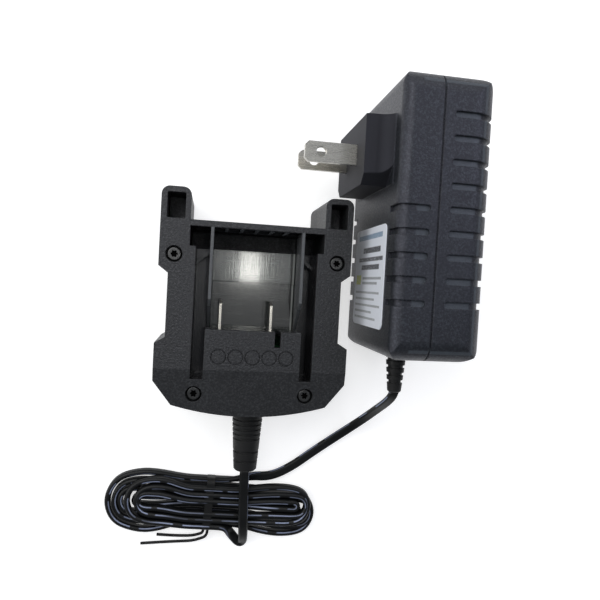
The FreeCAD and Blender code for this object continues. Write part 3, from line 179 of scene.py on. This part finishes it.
route = list(ADAPTER_LEAD)
route.append(in_hank(STRAIGHT + JOIN_FAR, strand(0) + JOIN_FAR_OUT, LOW))
route.append(in_hank(STRAIGHT + JOIN_NEAR, strand(0), LOW))
last = STRANDS - 1
lobes = []
for index in range(last):
    lobes.append((-1, strand(index), -strand(index), LOW, LOW))
    lobes.append((1, -strand(index), strand(index + 1), LOW, LOW))
lobes.append((-1, strand(last), -strand(last), LOW, LOW))
lobes.append((1, -strand(last), strand(last), LOW, HIGH))
for index in range(last, 1, -1):
    lobes.append((-1, strand(index), -strand(index - 1), HIGH, HIGH))
    lobes.append((1, -strand(index - 1), strand(index - 1), HIGH, HIGH))
lobes.append((-1, strand(1), -strand(0), HIGH, HIGH))
for number, half_turn in enumerate(lobes):
    lobe(route, number, *half_turn)
route.append(in_hank(STRAIGHT, -strand(0), HIGH))
route.append(in_hank(STRAIGHT + LEAVE, -strand(0), HIGH))
route += reversed(CRADLE_LEAD)
print("half turns:", len(lobes), "control points:", len(route))

# %% Smooth centre line
STEPS_PER_POINT = 6

line_data = bpy.data.curves.new("lead_line", "CURVE")
line_data.dimensions = "3D"
line_data.resolution_u = STEPS_PER_POINT
spline = line_data.splines.new("NURBS")
spline.points.add(len(route) - 1)
for point, place in zip(spline.points, route):
    point.co = (place[0] * MM, place[1] * MM, place[2] * MM, 1.0)
spline.order_u = 3
spline.use_endpoint_u = True
line = bpy.data.objects.new("lead_line", line_data)
scene.collection.objects.link(line)
bpy.context.view_layer.update()
line_mesh = bpy.data.meshes.new_from_object(line)
centre = [vertex.co.copy() for vertex in line_mesh.vertices]
bpy.data.objects.remove(line)
bpy.data.meshes.remove(line_mesh)
lengths = [0.0]
for before, after in zip(centre, centre[1:]):
    lengths.append(lengths[-1] + (after - before).length)
lead_length = lengths[-1]
print("points on the line:", len(centre), "length", round(lead_length, 4))

# %% [markdown]
# ## Twin profile
# The lead is a flat twin, two round cores side by side, so its section has a shallow valley on each face. A
# round bevel on the curve could not show that, so the section is swept along the line by hand, one ring of
# points at a time. Its wide side is level where the lead lies by itself, and on edge inside the hank, where
# the strands are packed side by side.

# %% Twin section
CORE_RADIUS = 1.06 * MM
LEAD_WIDTH = 3.36 * MM
PROFILE_POINTS = 20
VALLEY_DEPTH, VALLEY_WIDTH = 0.30, 0.16
CORE_OPENING = 2.6


def twin_section(turn):
    """A point of the twin section, across its wide side and through it."""
    angle = 2 * math.pi * turn
    offset = LEAD_WIDTH / 2 - CORE_RADIUS
    x, y = math.cos(angle), math.sin(angle)
    valley = 1 - VALLEY_DEPTH * math.exp(-(x / VALLEY_WIDTH) ** 2)
    apart = math.copysign(offset * min(1, abs(x) * CORE_OPENING), x)
    return (apart + CORE_RADIUS * x, CORE_RADIUS * y * valley)


print("section", round(LEAD_WIDTH / MM, 2), "by", round(2 * CORE_RADIUS / MM, 2), "mm")

# %% Turn on edge
WRAP_START = 0.083
WRAP_END = lead_length - 0.046
TURN_IN, TURN_OUT = 0.016, 0.012


def on_edge(at):
    """How far the lead is turned on edge: none on its own, a quarter turn in the hank."""
    rise = min(1.0, max(0.0, (at - WRAP_START + TURN_IN) / TURN_IN))
    fall = min(1.0, max(0.0, (WRAP_END + TURN_OUT - at) / TURN_OUT))
    amount = min(rise, fall)
    amount = amount * amount * (3 - 2 * amount)
    return math.radians(90) * amount


print("on edge from", WRAP_START, "to", round(WRAP_END, 3), "m along the lead")

# %% [markdown]
# ## Rings along the line
# At each point of the line the wide side starts out level. Where the line is steep, level says little, so
# the side of the ring before is carried on, which keeps the lead from flipping over in its fold.

# %% Rings of points
STEEP, FLIP_LIMIT = 0.35, 0.6

rings = []
side = Vector((1, 0, 0))
for number, place in enumerate(centre):
    before = centre[max(0, number - 1)]
    after = centre[min(len(centre) - 1, number + 1)]
    tangent = (after - before).normalized()
    level = tangent.cross(Vector((0, 0, 1)))
    wanted = level.normalized() if level.length > STEEP else side
    if wanted.dot(side) < 0 and level.length < FLIP_LIMIT:
        wanted = -wanted
    side = (wanted - tangent * wanted.dot(tangent)).normalized()
    up = side.cross(tangent).normalized()
    turn = on_edge(lengths[number])
    wide = side * math.cos(turn) + up * math.sin(turn)
    thin = up * math.cos(turn) - side * math.sin(turn)
    ring = []
    for step in range(PROFILE_POINTS):
        across, through = twin_section(step / PROFILE_POINTS)
        ring.append(place + wide * across + thin * through)
    rings.append(ring)
print("rings:", len(rings))

# %% [markdown]
# ## Mesh and its map
# The rings become one closed mesh with a cap at each end. Its UV map runs round the section and along the
# length in metres, so that the dashed stripe of the finish follows the lead through every turn.

# %% Twin lead as one mesh
vertices = [point for ring in rings for point in ring]
faces = []
for number in range(len(rings) - 1):
    a, b = number * PROFILE_POINTS, (number + 1) * PROFILE_POINTS
    for step in range(PROFILE_POINTS):
        nxt = (step + 1) % PROFILE_POINTS
        faces.append((a + step, b + step, b + nxt, a + nxt))
first_cap = len(faces)
faces.append(tuple(range(PROFILE_POINTS)))
faces.append(tuple(len(vertices) - PROFILE_POINTS + step for step in reversed(range(PROFILE_POINTS))))
lead_mesh = bpy.data.meshes.new("twin_lead")
lead_mesh.from_pydata(vertices, [], faces)
around = lead_mesh.uv_layers.new(name="around_and_along")
for polygon in lead_mesh.polygons:
    for place, loop in enumerate(polygon.loop_indices):
        if polygon.index < first_cap:
            number, step = divmod(polygon.index, PROFILE_POINTS)
            u = (step + (1 if place in (2, 3) else 0)) / PROFILE_POINTS
            v = lengths[number + (1 if place in (1, 2) else 0)]
            around.data[loop].uv = (u, v)
    polygon.use_smooth = polygon.index < first_cap
print("lead faces:", len(lead_mesh.polygons))

# %% Lead in the scene
lead = bpy.data.objects.new("twin_lead", lead_mesh)
scene.collection.objects.link(lead)
bpy.ops.object.select_all(action="DESELECT")
lead.select_set(True)
bpy.context.view_layer.objects.active = lead
bpy.ops.object.mode_set(mode="EDIT")
bpy.ops.mesh.select_all(action="SELECT")
bpy.ops.mesh.normals_make_consistent(inside=False)
bpy.ops.object.mode_set(mode="OBJECT")
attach(lead, "root")
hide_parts("cord_adapter_lead", "cord_hank", "cord_cradle_lead")
print("lead replaces three CAD nodes; its line is", round(lead_length, 3), "m long")

# %% [markdown]
# ## Finishes as expressions
# A finish is a small graph of nodes. Writing it as arithmetic keeps it readable: `Flow` stands for one
# value on its way through the graph, and adding or multiplying two of them adds the Math node. Everything
# else comes from the one method `add` of `Finish`.

# %% Values as expressions
class Flow:
    """One value on its way through a finish."""

    def __init__(self, finish, socket):
        self.finish = finish
        self.socket = socket

    def maths(self, operation, other=None, swap=False):
        values = {0: self} if other is None else ({0: other, 1: self} if swap else {0: self, 1: other})
        return self.finish.add("ShaderNodeMath", {"operation": operation}, values)

    def __add__(self, other):
        return self.maths("ADD", other)

    __radd__ = __add__

    def __mul__(self, other):
        return self.maths("MULTIPLY", other)

    __rmul__ = __mul__

    def __sub__(self, other):
        return self.maths("SUBTRACT", other)

    def __rsub__(self, other):
        return self.maths("SUBTRACT", other, swap=True)

    def __truediv__(self, other):
        return self.maths("DIVIDE", other)

    def above(self, edge, soft):
        """0 below an edge and 1 above it, with a soft step."""
        ranged = {"Value": self, "From Min": edge - soft, "From Max": edge + soft}
        return self.finish.add("ShaderNodeMapRange", {"interpolation_type": "SMOOTHSTEP"}, ranged)

    def between(self, low, high, soft):
        """1 between two edges and 0 outside them."""
        return self.above(low, soft) * (1 - self.above(high, soft))


print("operators:", ", ".join(("add", "multiply", "subtract", "divide")))

# %% Materials under construction
BEVEL_SAMPLES = 4


class Finish:
    """A material under construction."""

    def __init__(self, name):
        self.material = bpy.data.materials.new(name)
        self.material.use_nodes = True
        self.tree = self.material.node_tree
        self.shader = self.tree.nodes["Principled BSDF"]
        place = self.add("ShaderNodeTexCoord")
        self.place = Flow(self, place.socket.node.outputs["Object"])
        self.map = Flow(self, place.socket.node.outputs["UV"])

    def feed(self, socket, value):
        if isinstance(value, Flow):
            self.tree.links.new(value.socket, socket)
        else:
            socket.default_value = value

    def add(self, kind, settings=(), values=(), out=0):
        """Any node: its settings first, then the values or links of its inputs."""
        node = self.tree.nodes.new(kind)
        for name, value in dict(settings).items():
            setattr(node, name, value)
        for key, value in dict(values).items():
            self.feed(node.inputs[key], value)
        return Flow(self, node.outputs[out])

    def noise(self, scale, detail=3.0, stretch=None, rough=0.5):
        """Noise over the piece, in grains to the metre; stretch draws it out along the axes."""
        place = self.place
        if stretch:
            place = self.add("ShaderNodeMapping", {}, {"Vector": place, "Scale": stretch})
        inputs = {"Vector": place, "Scale": scale, "Detail": detail, "Roughness": rough}
        return self.add("ShaderNodeTexNoise", {}, inputs)

    def blend(self, factor, first, second):
        """Two colours, by a factor."""
        inputs = {"Factor": factor, 6: first, 7: second}
        return self.add("ShaderNodeMix", {"data_type": "RGBA"}, inputs, out=2)

    def axis(self, vector, index):
        """One coordinate of a vector."""
        return self.add("ShaderNodeSeparateXYZ", {}, {0: vector}, out=index)

    def relief(self, height, distance, edge=None):
        """Bumps from a height, over edges rounded by a small radius."""
        values = {"Height": height, "Distance": distance, "Strength": 1.0}
        if edge:
            values["Normal"] = self.add("ShaderNodeBevel", {"samples": BEVEL_SAMPLES}, {"Radius": edge})
        return self.add("ShaderNodeBump", {}, values)

    def set(self, **values):
        """Values or links of the shader's sockets; an underscore in a name stands for a space."""
        for name, value in values.items():
            self.feed(self.shader.inputs[name.replace("_", " ")], value)
        return self

    def wear(self, *names):
        """Give this finish to CAD nodes, in place of what they came with."""
        for name in names:
            target = nodes[name].data
            target.materials.clear()
            target.materials.append(self.material)
        print(self.material.name, "on", ", ".join(names))
        return self


def grey(value, warm=0.0):
    """An almost neutral colour: warm for a positive share, cool for a negative one."""
    return (value * (1 + warm), value, value * (1 - warm), 1.0)


print("a cool grey:", grey(0.5, -0.1))

# %% [markdown]
# ## Moulded plastic
# Both housings are black plastic with a fine spark-eroded grain. Up close the grain scatters light, so the
# surface looks dark grey where a lamp faces it. Four sizes of noise stand for it: fine grain and dimples
# make the bumps, and a mottle and slow clouds vary both the tone and the gloss. A Bevel node rounds the
# edges by a fraction of a millimetre, so each catches a thin bright line.

# %% Moulded plastic
FINE_GRAIN, DIMPLES, MOTTLE, CLOUDS = 4200, 1900, 1500, 45


def moulded(name, tone, rough, grain, edge, cool, smooth=None, polish=0.20, lit=None, pale=0.0):
    """Satin black plastic: mottled grain, patches of gloss, rounded edges. Smooth parts lose most of the
    grain and take their own gloss; lit parts, such as the floors of grooves, get painted light: their
    colour is painted paler."""
    finish = Finish(name)
    fine = finish.noise(FINE_GRAIN, 2.0)
    dimple = finish.noise(DIMPLES, 2.0)
    cloud = finish.noise(CLOUDS, 3.0)
    mottle = finish.noise(MOTTLE, 3.0, rough=0.78).above(0.56, 0.12)
    colour = finish.blend(cloud, grey(tone * 0.7, cool), grey(tone * 1.1, cool))
    colour = finish.blend(mottle * 0.6, colour, grey(tone * 6, cool))
    texture = fine * 0.3 + dimple * 0.7
    gloss = rough + (cloud - 0.5) * 0.14 + (0.5 - mottle) * 0.10
    if smooth:
        plain = smooth(finish)
        gloss = gloss * (1 - plain) + plain * (polish + cloud * 0.10)
        texture = texture * (1 - plain * 0.85)
        colour = finish.blend(plain, colour, grey(tone * 0.4, cool))
    # Painted light: the lit places are painted in a paler colour, standing in for the lamp light they catch.
    if lit:
        colour = finish.blend(lit(finish), colour, grey(pale, cool))
    finish.set(Base_Color=colour, Roughness=gloss, Normal=finish.relief(texture, grain, edge))
    finish.shader.inputs["Specular Tint"].default_value = (1 + cool, 1 + cool, 1, 1)
    return finish


print("grains to the metre:", FINE_GRAIN, DIMPLES, MOTTLE, CLOUDS)

# %% [markdown]
# ## Where the plastic differs
# The sunk surfaces of the cradle and the block that carries the blades have little grain and a darker tone.
# The cradle's are glossier than the rest, and the block is duller. The wall under the bar, the edges of the
# ribs and the floors of the adapter's grooves are painted paler: painted light, where they catch the lamps.
# Each such place is a box in Object coordinates, which are metres on these pieces, with soft sides.

# %% Sunk and rubbed places of the cradle
shell_low, shell_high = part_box("cradle_front_shell")
CRADLE_TOP = shell_high.z
CRADLE_AXIS_X = (shell_low.x + shell_high.x) / 2
RECESS_HALF, RECESS_LOW_Y, RECESS_HIGH_Y, RECESS_DEPTH = 0.0196, -0.0310, 0.0190, 0.0022
BAR_INNER_Y, BAR_BEHIND, BAR_BEFORE, BAR_LIP = 0.0174, 0.0006, 0.0003, 0.0018
RIB_INNER, RIB_OUTER, RIB_LOW_Y, RIB_LOW_Z = 0.0138, 0.0150, -0.0150, 0.0180
CRISP, SOFT, BLURRED, FADING = 0.0001, 0.0002, 0.0003, 0.0004
# How much painted light pales the wall under the bar and the ribs' inner edges.
WALL_PAINTED_LIGHT, RIB_PAINTED_HIGHLIGHT = 0.5, 0.10


def recesses(finish):
    """The sunk surfaces between the rails."""
    across, along, up = (finish.axis(finish.place, index) for index in range(3))
    inside = across.between(CRADLE_AXIS_X - RECESS_HALF, CRADLE_AXIS_X + RECESS_HALF, CRISP)
    inside = inside * along.between(RECESS_LOW_Y, RECESS_HIGH_Y, CRISP)
    return inside * (1 - up.above(CRADLE_TOP - RECESS_DEPTH, BLURRED))


def painted_light_edges(finish):
    """Painted light on the slotted wall under the bar, painted highlights on the ribs' inner edges."""
    across, along, up = (finish.axis(finish.place, index) for index in range(3))
    wall = across.between(CRADLE_AXIS_X - RIB_INNER, CRADLE_AXIS_X + RIB_INNER, CRISP)
    wall = wall * along.between(BAR_INNER_Y - BAR_BEHIND, BAR_INNER_Y + BAR_BEFORE, CRISP)
    wall = wall * (1 - up.above(CRADLE_TOP - BAR_LIP, SOFT))
    ribs = across.between(CRADLE_AXIS_X - RIB_OUTER, CRADLE_AXIS_X - RIB_INNER, CRISP)
    ribs = ribs + across.between(CRADLE_AXIS_X + RIB_INNER, CRADLE_AXIS_X + RIB_OUTER, CRISP)
    ribs = ribs * along.between(RIB_LOW_Y, BAR_INNER_Y, CRISP) * up.above(RIB_LOW_Z, SOFT)
    return wall * WALL_PAINTED_LIGHT + ribs * RIB_PAINTED_HIGHLIGHT


print("cradle top", round(CRADLE_TOP, 4), "axis", round(CRADLE_AXIS_X, 4))

# %% Block and grooves of the adapter
ADAPTER_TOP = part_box("adapter_front_shell")[1].z
ADAPTER_FACE_X, FACE_CLEAR = 0.0194, 0.0003
GROOVE_NEAR_X, GROOVE_FAR_X = 0.0250, 0.0450
GROOVE_SHALLOW, GROOVE_DEEP = 0.0006, 0.0012
# How much painted light pales the groove floors.
GROOVE_PAINTED_LIGHT = 0.6


def plug_block(finish):
    """The raised block that carries the blades."""
    return 1 - finish.axis(finish.place, 0).above(ADAPTER_FACE_X - FACE_CLEAR, SOFT)


def groove_floor_light(finish):
    """Painted light on the floors of the grooves on the adapter's upper side, where they catch the lamps."""
    across, up = finish.axis(finish.place, 0), finish.axis(finish.place, 2)
    floors = across.between(GROOVE_NEAR_X, GROOVE_FAR_X, FADING)
    return floors * up.between(ADAPTER_TOP - GROOVE_DEEP, ADAPTER_TOP - GROOVE_SHALLOW, CRISP) * GROOVE_PAINTED_LIGHT


print("adapter top", round(ADAPTER_TOP, 4))

# %% Housing finishes
moulded(
    "cradle_plastic", tone=0.0085, rough=0.45, grain=0.00024, edge=0.00032, cool=-0.05,
    smooth=recesses, polish=0.20, lit=painted_light_edges, pale=0.60,
).wear("cradle_front_shell")
moulded(
    "tray_plastic", tone=0.0085, rough=0.50, grain=0.00016, edge=0.0004, cool=-0.05,
).wear("cradle_back_shell")
moulded(
    "adapter_plastic", tone=0.0070, rough=0.42, grain=0.00012, edge=0.0005, cool=-0.16,
    smooth=plug_block, polish=0.62, lit=groove_floor_light, pale=0.07,
).wear("adapter_front_shell", "adapter_back_shell")

# %% [markdown]
# ## Polished insert
# The floor between the ribs is a smooth dark plastic that mirrors the lamp above it. Fine rubs run along
# the way the battery slides, and paler streaks run across it. A pale line near its right edge, at the foot
# of the rib, is a painted highlight on the rounded corner there.
# A thin coat over a darker base gives two highlights, a sharp one and a hazy one, as on a piece that is
# polished and rubbed.

# %% Polished insert
FILLET_HIGHLIGHT_LEFT, FILLET_HIGHLIGHT_RIGHT = -0.0048, -0.0042

finish = Finish("polished_insert")
rubs = finish.noise(260, 4.0, stretch=(9.0, 0.5, 1.0))
haze = finish.noise(70, 3.0)
streak = finish.noise(420, 4.0, stretch=(0.18, 3.0, 1.0), rough=0.7)
# Painted highlight: a pale line along the rounded foot of the right rib.
fillet_highlight = finish.axis(finish.place, 0).between(FILLET_HIGHLIGHT_LEFT, FILLET_HIGHLIGHT_RIGHT, SOFT)
colour = finish.blend(haze, (0.004, 0.0048, 0.0046, 1), (0.012, 0.0140, 0.0130, 1))
colour = finish.blend(streak.above(0.58, 0.10) * 0.4, colour, (0.050, 0.052, 0.048, 1))
finish.set(
    Base_Color=finish.blend(fillet_highlight * 0.8, colour, (0.20, 0.21, 0.20, 1)),
    Roughness=0.07 + haze * 0.09 + rubs.above(0.62, 0.08) * 0.12,
    Normal=finish.relief(rubs, 0.000012, 0.0003),
)
finish.set(Coat_Weight=0.35 + streak * 0.3)
finish.shader.inputs["Coat Roughness"].default_value = 0.05
finish.wear("terminal_holder")

# %% [markdown]
# ## Plated metal
# The plug blades and the two contacts are bright nickel, which is a little yellower than chrome. Rolling
# left faint lines along each blade, so the noise is drawn out along the blade's own length.

# %% Blades and contacts
TARNISH = 0.84


def plated(name, colour, rough, lines, scale, edge):
    """Bright metal with fine rolled lines."""
    finish = Finish(name)
    rolled = finish.noise(scale, 3.0, stretch=lines)
    haze = finish.noise(160, 3.0)
    darker = tuple(channel * TARNISH for channel in colour[:3]) + (1.0,)
    tarnish = finish.blend(haze, colour, darker)
    finish.set(Base_Color=tarnish, Metallic=1.0, Roughness=rough + rolled * 0.10 + haze * 0.05)
    finish.set(Normal=finish.relief(rolled, 0.000010, edge))
    return finish


plated(
    "plug_nickel", (0.60, 0.58, 0.53, 1), rough=0.20, lines=(0.25, 6.0, 6.0), scale=700, edge=0.0002,
).wear("plug_blade_upper", "plug_blade_lower")
plated(
    "contact_nickel", (0.70, 0.66, 0.60, 1), rough=0.18, lines=(6.0, 0.3, 6.0), scale=900, edge=0.0001,
).wear("contact_blade_left", "contact_blade_right")

# %% [markdown]
# ## Screws
# The screws are dark steel, and each driver recess holds shade that a small dent can't give by itself. The
# two at the cord's end sit lower than the two by the posts, so depth is measured from the top of each pair.

# %% Screws
SCREW_TONE, SHADE_TONE = 0.085, 0.004
RECESS_STARTS = 0.00035

screws = plated(
    "screw_steel", (0.085, 0.085, 0.088, 1), rough=0.30, lines=(1.0, 1.0, 1.0), scale=1800, edge=0.0001,
)
screw_node = nodes["cradle_screws"]
corners = [screw_node.matrix_world @ vertex.co for vertex in screw_node.data.vertices]
front_top = max(corner.z for corner in corners if corner.y < 0)
back_top = max(corner.z for corner in corners if corner.y > 0)
top = front_top + screws.axis(screws.place, 1).above(0.0, 0.001) * (back_top - front_top)
sunk = (top - screws.axis(screws.place, 2)).above(RECESS_STARTS, CRISP)
shaded = screws.blend(sunk, grey(SCREW_TONE), grey(SHADE_TONE))
screws.set(Base_Color=shaded, Roughness=0.30 + sunk * 0.4)
screws.wear("cradle_screws")
print("screw tops", round(front_top, 4), round(back_top, 4))

# %% [markdown]
# ## Rubber boots
# The boots are soft black rubber, duller than the housings. Rubber sends back less light than hard plastic,
# so its specular level is low, and a fine noise keeps the surface from looking like paint.

# %% Boots
finish = Finish("boot_rubber")
grain = finish.noise(3000, 3.0)
cloud = finish.noise(120, 3.0)
finish.set(
    Base_Color=finish.blend(cloud, grey(0.005), grey(0.009)), Roughness=0.50 + (cloud - 0.5) * 0.14,
    Normal=finish.relief(grain, 0.00004, 0.00025),
)
finish.shader.inputs["Specular IOR Level"].default_value = 0.30
finish.wear("cradle_cord_boot", "adapter_cord_boot")

# %% [markdown]
# ## Lead and tie
# The lead is smooth vinyl. A pale blue-grey stripe in long dashes is painted near the outer edge of one
# core, so it faces up where the lead stands on edge: it is a painted highlight, in place of the lamps'
# sheen along that edge. The dashes are not all of one length, and some are faint. The tie is a coated
# wire, a little duller.

# %% Lead
DASHES = 78.0
STRIPE_FROM, STRIPE_TO = 0.040, 0.100
DASH_FROM, DASH_TO = 0.06, 0.76

finish = Finish("lead_vinyl")
u = finish.axis(finish.map, 0)
v = finish.axis(finish.map, 1)
wander = finish.add("ShaderNodeTexNoise", {"noise_dimensions": "1D"}, {"W": v, "Scale": 60.0, "Detail": 1.0})
faint = finish.add("ShaderNodeTexNoise", {"noise_dimensions": "1D"}, {"W": v, "Scale": 31.0, "Detail": 2.0})
dash = (v * DASHES + wander * 1.4).maths("FRACT")
# Painted highlight: pale dashes along the edge of one core that faces up in the hank.
stripe = u.between(STRIPE_FROM, STRIPE_TO, 0.010) * dash.between(DASH_FROM, DASH_TO, 0.02)
highlight_mottle = finish.noise(700, 3.0)
cloud = finish.noise(160, 3.0)
highlight_tone = finish.blend(highlight_mottle, (0.17, 0.20, 0.30, 1), (0.30, 0.34, 0.46, 1))
jacket = finish.blend(cloud, grey(0.004, -0.06), grey(0.008, -0.06))
painted_dashes = stripe * (0.15 + faint.above(0.48, 0.14) * 0.85)
finish.set(
    Base_Color=finish.blend(painted_dashes, jacket, highlight_tone),
    Roughness=0.42 + (cloud - 0.5) * 0.12 + stripe * 0.1,
    Normal=finish.relief(finish.noise(2200, 2.0), 0.000015),
)
finish.shader.inputs["Specular IOR Level"].default_value = 0.22
lead_mesh.materials.append(finish.material)
print("lead_vinyl on the lead,", DASHES, "dashes to the metre")

# %% Tie
finish = Finish("tie_coating")
finish.set(
    Base_Color=finish.blend(finish.noise(200), grey(0.003), grey(0.007)),
    Roughness=0.46 + finish.noise(500) * 0.1,
    Normal=finish.relief(finish.noise(1500), 0.00003, 0.0001),
)
finish.shader.inputs["Specular IOR Level"].default_value = 0.25
finish.wear("twist_tie")

# %% [markdown]
# ## Label
# The adapter carries a white paper label with plain bars and a small yellow-green square. Drawing them in
# the finish keeps the label one thin piece. Each bar is a box in shares of the label's own width and
# height, with soft edges, and ink breaks up a little on paper. The small bars repeat, so a loop makes them.

# %% Bars on the label
BLUE_INK, DARK_INK, GREEN_INK = (0.20, 0.30, 0.42, 1), (0.03, 0.03, 0.035, 1), (0.62, 0.66, 0.05, 1)
BLACK_INK, SOOT_INK = (0.05, 0.05, 0.055, 1), (0.04, 0.04, 0.045, 1)
GREY_INK, PALE_INK = (0.30, 0.31, 0.32, 1), (0.34, 0.35, 0.36, 1)
SMALL_LEFT, SMALL_TOP, SMALL_PITCH, SMALL_HEIGHT = 0.07, 0.330, 0.065, 0.022
SMALL_ENDS = (0.88, 0.74, 0.92, 0.66, 0.80)

bars = [
    (0.10, 0.90, 0.885, 0.935, BLUE_INK),
    (0.28, 0.86, 0.745, 0.800, DARK_INK),
    (0.14, 0.94, 0.660, 0.700, BLACK_INK),
    (0.24, 0.84, 0.575, 0.625, SOOT_INK),
    (0.07, 0.24, 0.420, 0.520, GREEN_INK),
    (0.30, 0.92, 0.475, 0.500, GREY_INK),
    (0.30, 0.80, 0.425, 0.450, GREY_INK),
]
for number, right in enumerate(SMALL_ENDS):
    low = SMALL_TOP - SMALL_PITCH * number
    bars.append((SMALL_LEFT, right, low, low + SMALL_HEIGHT, PALE_INK))
print("bars on the label:", len(bars))

# %% Label finish
INK_BLUR, INK_COVER = 0.004, 0.92

label_low, label_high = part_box("adapter_label")
finish = Finish("label_paper")
across = (finish.axis(finish.place, 2) - label_low.z) / (label_high.z - label_low.z)
upward = (finish.axis(finish.place, 1) - label_low.y) / (label_high.y - label_low.y)
fibre = finish.noise(900, 4.0)
colour = finish.blend(fibre, (0.77, 0.80, 0.86, 1), (0.85, 0.88, 0.94, 1))
broken = finish.noise(2600, 2.0).above(0.34, 0.08)
for left, right, low, high, ink in bars:
    bar = across.between(left, right, INK_BLUR) * upward.between(low, high, INK_BLUR)
    colour = finish.blend(bar * broken * INK_COVER, colour, ink)
finish.set(Base_Color=colour, Roughness=0.42 + fibre * 0.12, Normal=finish.relief(fibre, 0.00001, 0.0001))
finish.wear("adapter_label")

# %% [markdown]
# ## Inside parts
# Nothing opens in the photograph, so these pieces are never seen there. They get the usual finishes of such
# parts: green solder mask, sintered ferrite, enamelled copper, drawn aluminium cans, dark moulded packages,
# a yellow filter case and red wire jackets. One function makes them all, with a slow noise for the tone and
# a fine one for the bumps.

# %% Inside finishes
def inner(name, first, second, scale, rough, metal=0.0, bump=0.00003):
    """A plain part with a little variation of tone and gloss."""
    finish = Finish(name)
    cloud = finish.noise(scale, 3.0)
    fine = finish.noise(scale * 9, 2.0)
    finish.set(Base_Color=finish.blend(cloud, first + (1,), second + (1,)), Metallic=metal)
    finish.set(Roughness=rough + (cloud - 0.5) * 0.16, Normal=finish.relief(fine, bump, 0.0001))
    return finish


inner("solder_mask", (0.02, 0.12, 0.05), (0.04, 0.20, 0.08), 300, 0.28).wear(
    "cradle_circuit_board", "adapter_circuit_board")
inner("ferrite", (0.07, 0.07, 0.08), (0.13, 0.13, 0.14), 500, 0.62).wear("transformer_core")
inner("enamelled_copper", (0.34, 0.15, 0.05), (0.50, 0.25, 0.09), 400, 0.30).wear("transformer_winding")
inner("drawn_aluminium", (0.52, 0.53, 0.54), (0.66, 0.67, 0.68), 260, 0.30, 1.0, 0.00001).wear(
    "smoothing_capacitor", "input_capacitor", "output_capacitor", "heat_sink")
inner("package_resin", (0.02, 0.02, 0.022), (0.05, 0.05, 0.052), 600, 0.45).wear(
    "charge_control_chip", "switching_transistor", "rectifier_bridge", "fuse")
inner("filter_case", (0.50, 0.36, 0.05), (0.60, 0.44, 0.08), 400, 0.40).wear("mains_filter_capacitor")
inner("carrier_plastic", (0.03, 0.03, 0.03), (0.05, 0.05, 0.05), 500, 0.50).wear("blade_holder")
inner("wire_jacket", (0.36, 0.03, 0.02), (0.46, 0.05, 0.03), 500, 0.35).wear(
    "cradle_lead_wires", "mains_wires", "output_wires")

# %% [markdown]
# ## Floor
# The photograph has a white ground and no hard shadow, as on a light table or a cut-out. The floor is pale
# and adds a little light of its own for the camera and for mirrored and transmitted rays, so it reads white
# and still keeps a soft shadow. A cool, dim room fills the rest.

# %% Floor
FLOOR_SIZE, FLOOR_DROP = 8.0, 0.0002
FLOOR_TONE, FLOOR_GLOW = 0.62, 0.62

bpy.ops.object.select_all(action="DESELECT")
bpy.ops.mesh.primitive_plane_add(size=FLOOR_SIZE, location=(0, 0, -FLOOR_DROP))
floor = bpy.context.object
floor.name = "floor"
finish = Finish("pale_floor")
finish.set(Base_Color=(FLOOR_TONE, FLOOR_TONE, FLOOR_TONE, 1), Roughness=1.0)
finish.shader.inputs["Specular IOR Level"].default_value = 0.0
rays = finish.add("ShaderNodeLightPath").socket.node
seen = Flow(finish, rays.outputs["Is Camera Ray"])
for kind in ("Is Glossy Ray", "Is Transmission Ray"):
    seen = seen.maths("MAXIMUM", Flow(finish, rays.outputs[kind]))
finish.set(Emission_Color=(1, 1, 1, 1), Emission_Strength=seen * FLOOR_GLOW)
floor.data.materials.append(finish.material)
print("floor glow", FLOOR_GLOW)

# %% Room
ROOM_TINT, ROOM_STRENGTH = (0.86, 0.92, 1.0, 1), 0.22

world = bpy.data.worlds.new("room")
world.use_nodes = True
background = world.node_tree.nodes["Background"]
background.inputs["Color"].default_value = ROOM_TINT
background.inputs["Strength"].default_value = ROOM_STRENGTH
scene.world = world
print("room strength", ROOM_STRENGTH)

# %% [markdown]
# ## Lamps
# Nine rectangular lamps light the part. Three large softboxes and a bluish window shape the housings from
# above, behind and both sides. The other five hang level overhead and are there for what the polished
# insert and the channels beside it mirror: two wide, weak panels for its grey sheen, a small strong one for
# its bright patch, and two small weak ones for a few faint glints.

# %% Softboxes
def lamp(name, place, aim, size, power, tint=(1, 1, 1)):
    """A rectangular soft lamp that faces a point."""
    data = bpy.data.lights.new(name, "AREA")
    data.shape = "RECTANGLE"
    data.size, data.size_y = size
    data.energy = power
    data.color = tint
    light = bpy.data.objects.new(name, data)
    light.location = place
    light.rotation_euler = (Vector(aim) - Vector(place)).to_track_quat("-Z", "Y").to_euler()
    scene.collection.objects.link(light)
    print(name, "power", power)


lamp("overhead_softbox", (-0.36, 0.34, 0.72), (-0.05, 0.10, 0.0), (0.50, 0.60), 3.6)
lamp("window", (0.62, 0.32, 0.70), (0.03, 0.02, 0.03), (0.40, 0.60), 2.1, (0.86, 0.87, 1.0))
lamp("back_softbox", (0.10, 0.80, 0.62), (0, 0, 0.02), (0.70, 0.40), 2.4)
lamp("left_softbox", (-0.74, 0.02, 0.40), (0, 0, 0.02), (0.40, 0.50), 2.2)


# %% Level panels
def panel(name, x, y, height, size, power, tint=(1, 1, 1)):
    """A lamp that hangs level and faces straight down."""
    lamp(name, (x, y, height), (x, y, 0.0), size, power, tint)


panel("wide_panel", 0.0441, -0.0093, 0.71, (0.140, 0.136), 0.040)
panel("high_panel", 0.0395, 0.0276, 0.70, (0.130, 0.054), 0.018, (0.90, 1.0, 0.98))
panel("left_glint", -0.054, 0.0343, 0.70, (0.022, 0.026), 0.012)
panel("right_glint", 0.123, 0.0251, 0.70, (0.022, 0.026), 0.012)
panel("patch_lamp", 0.0289, 0.0238, 0.69, (0.031, 0.046), 0.090, (1.0, 1.0, 0.94))
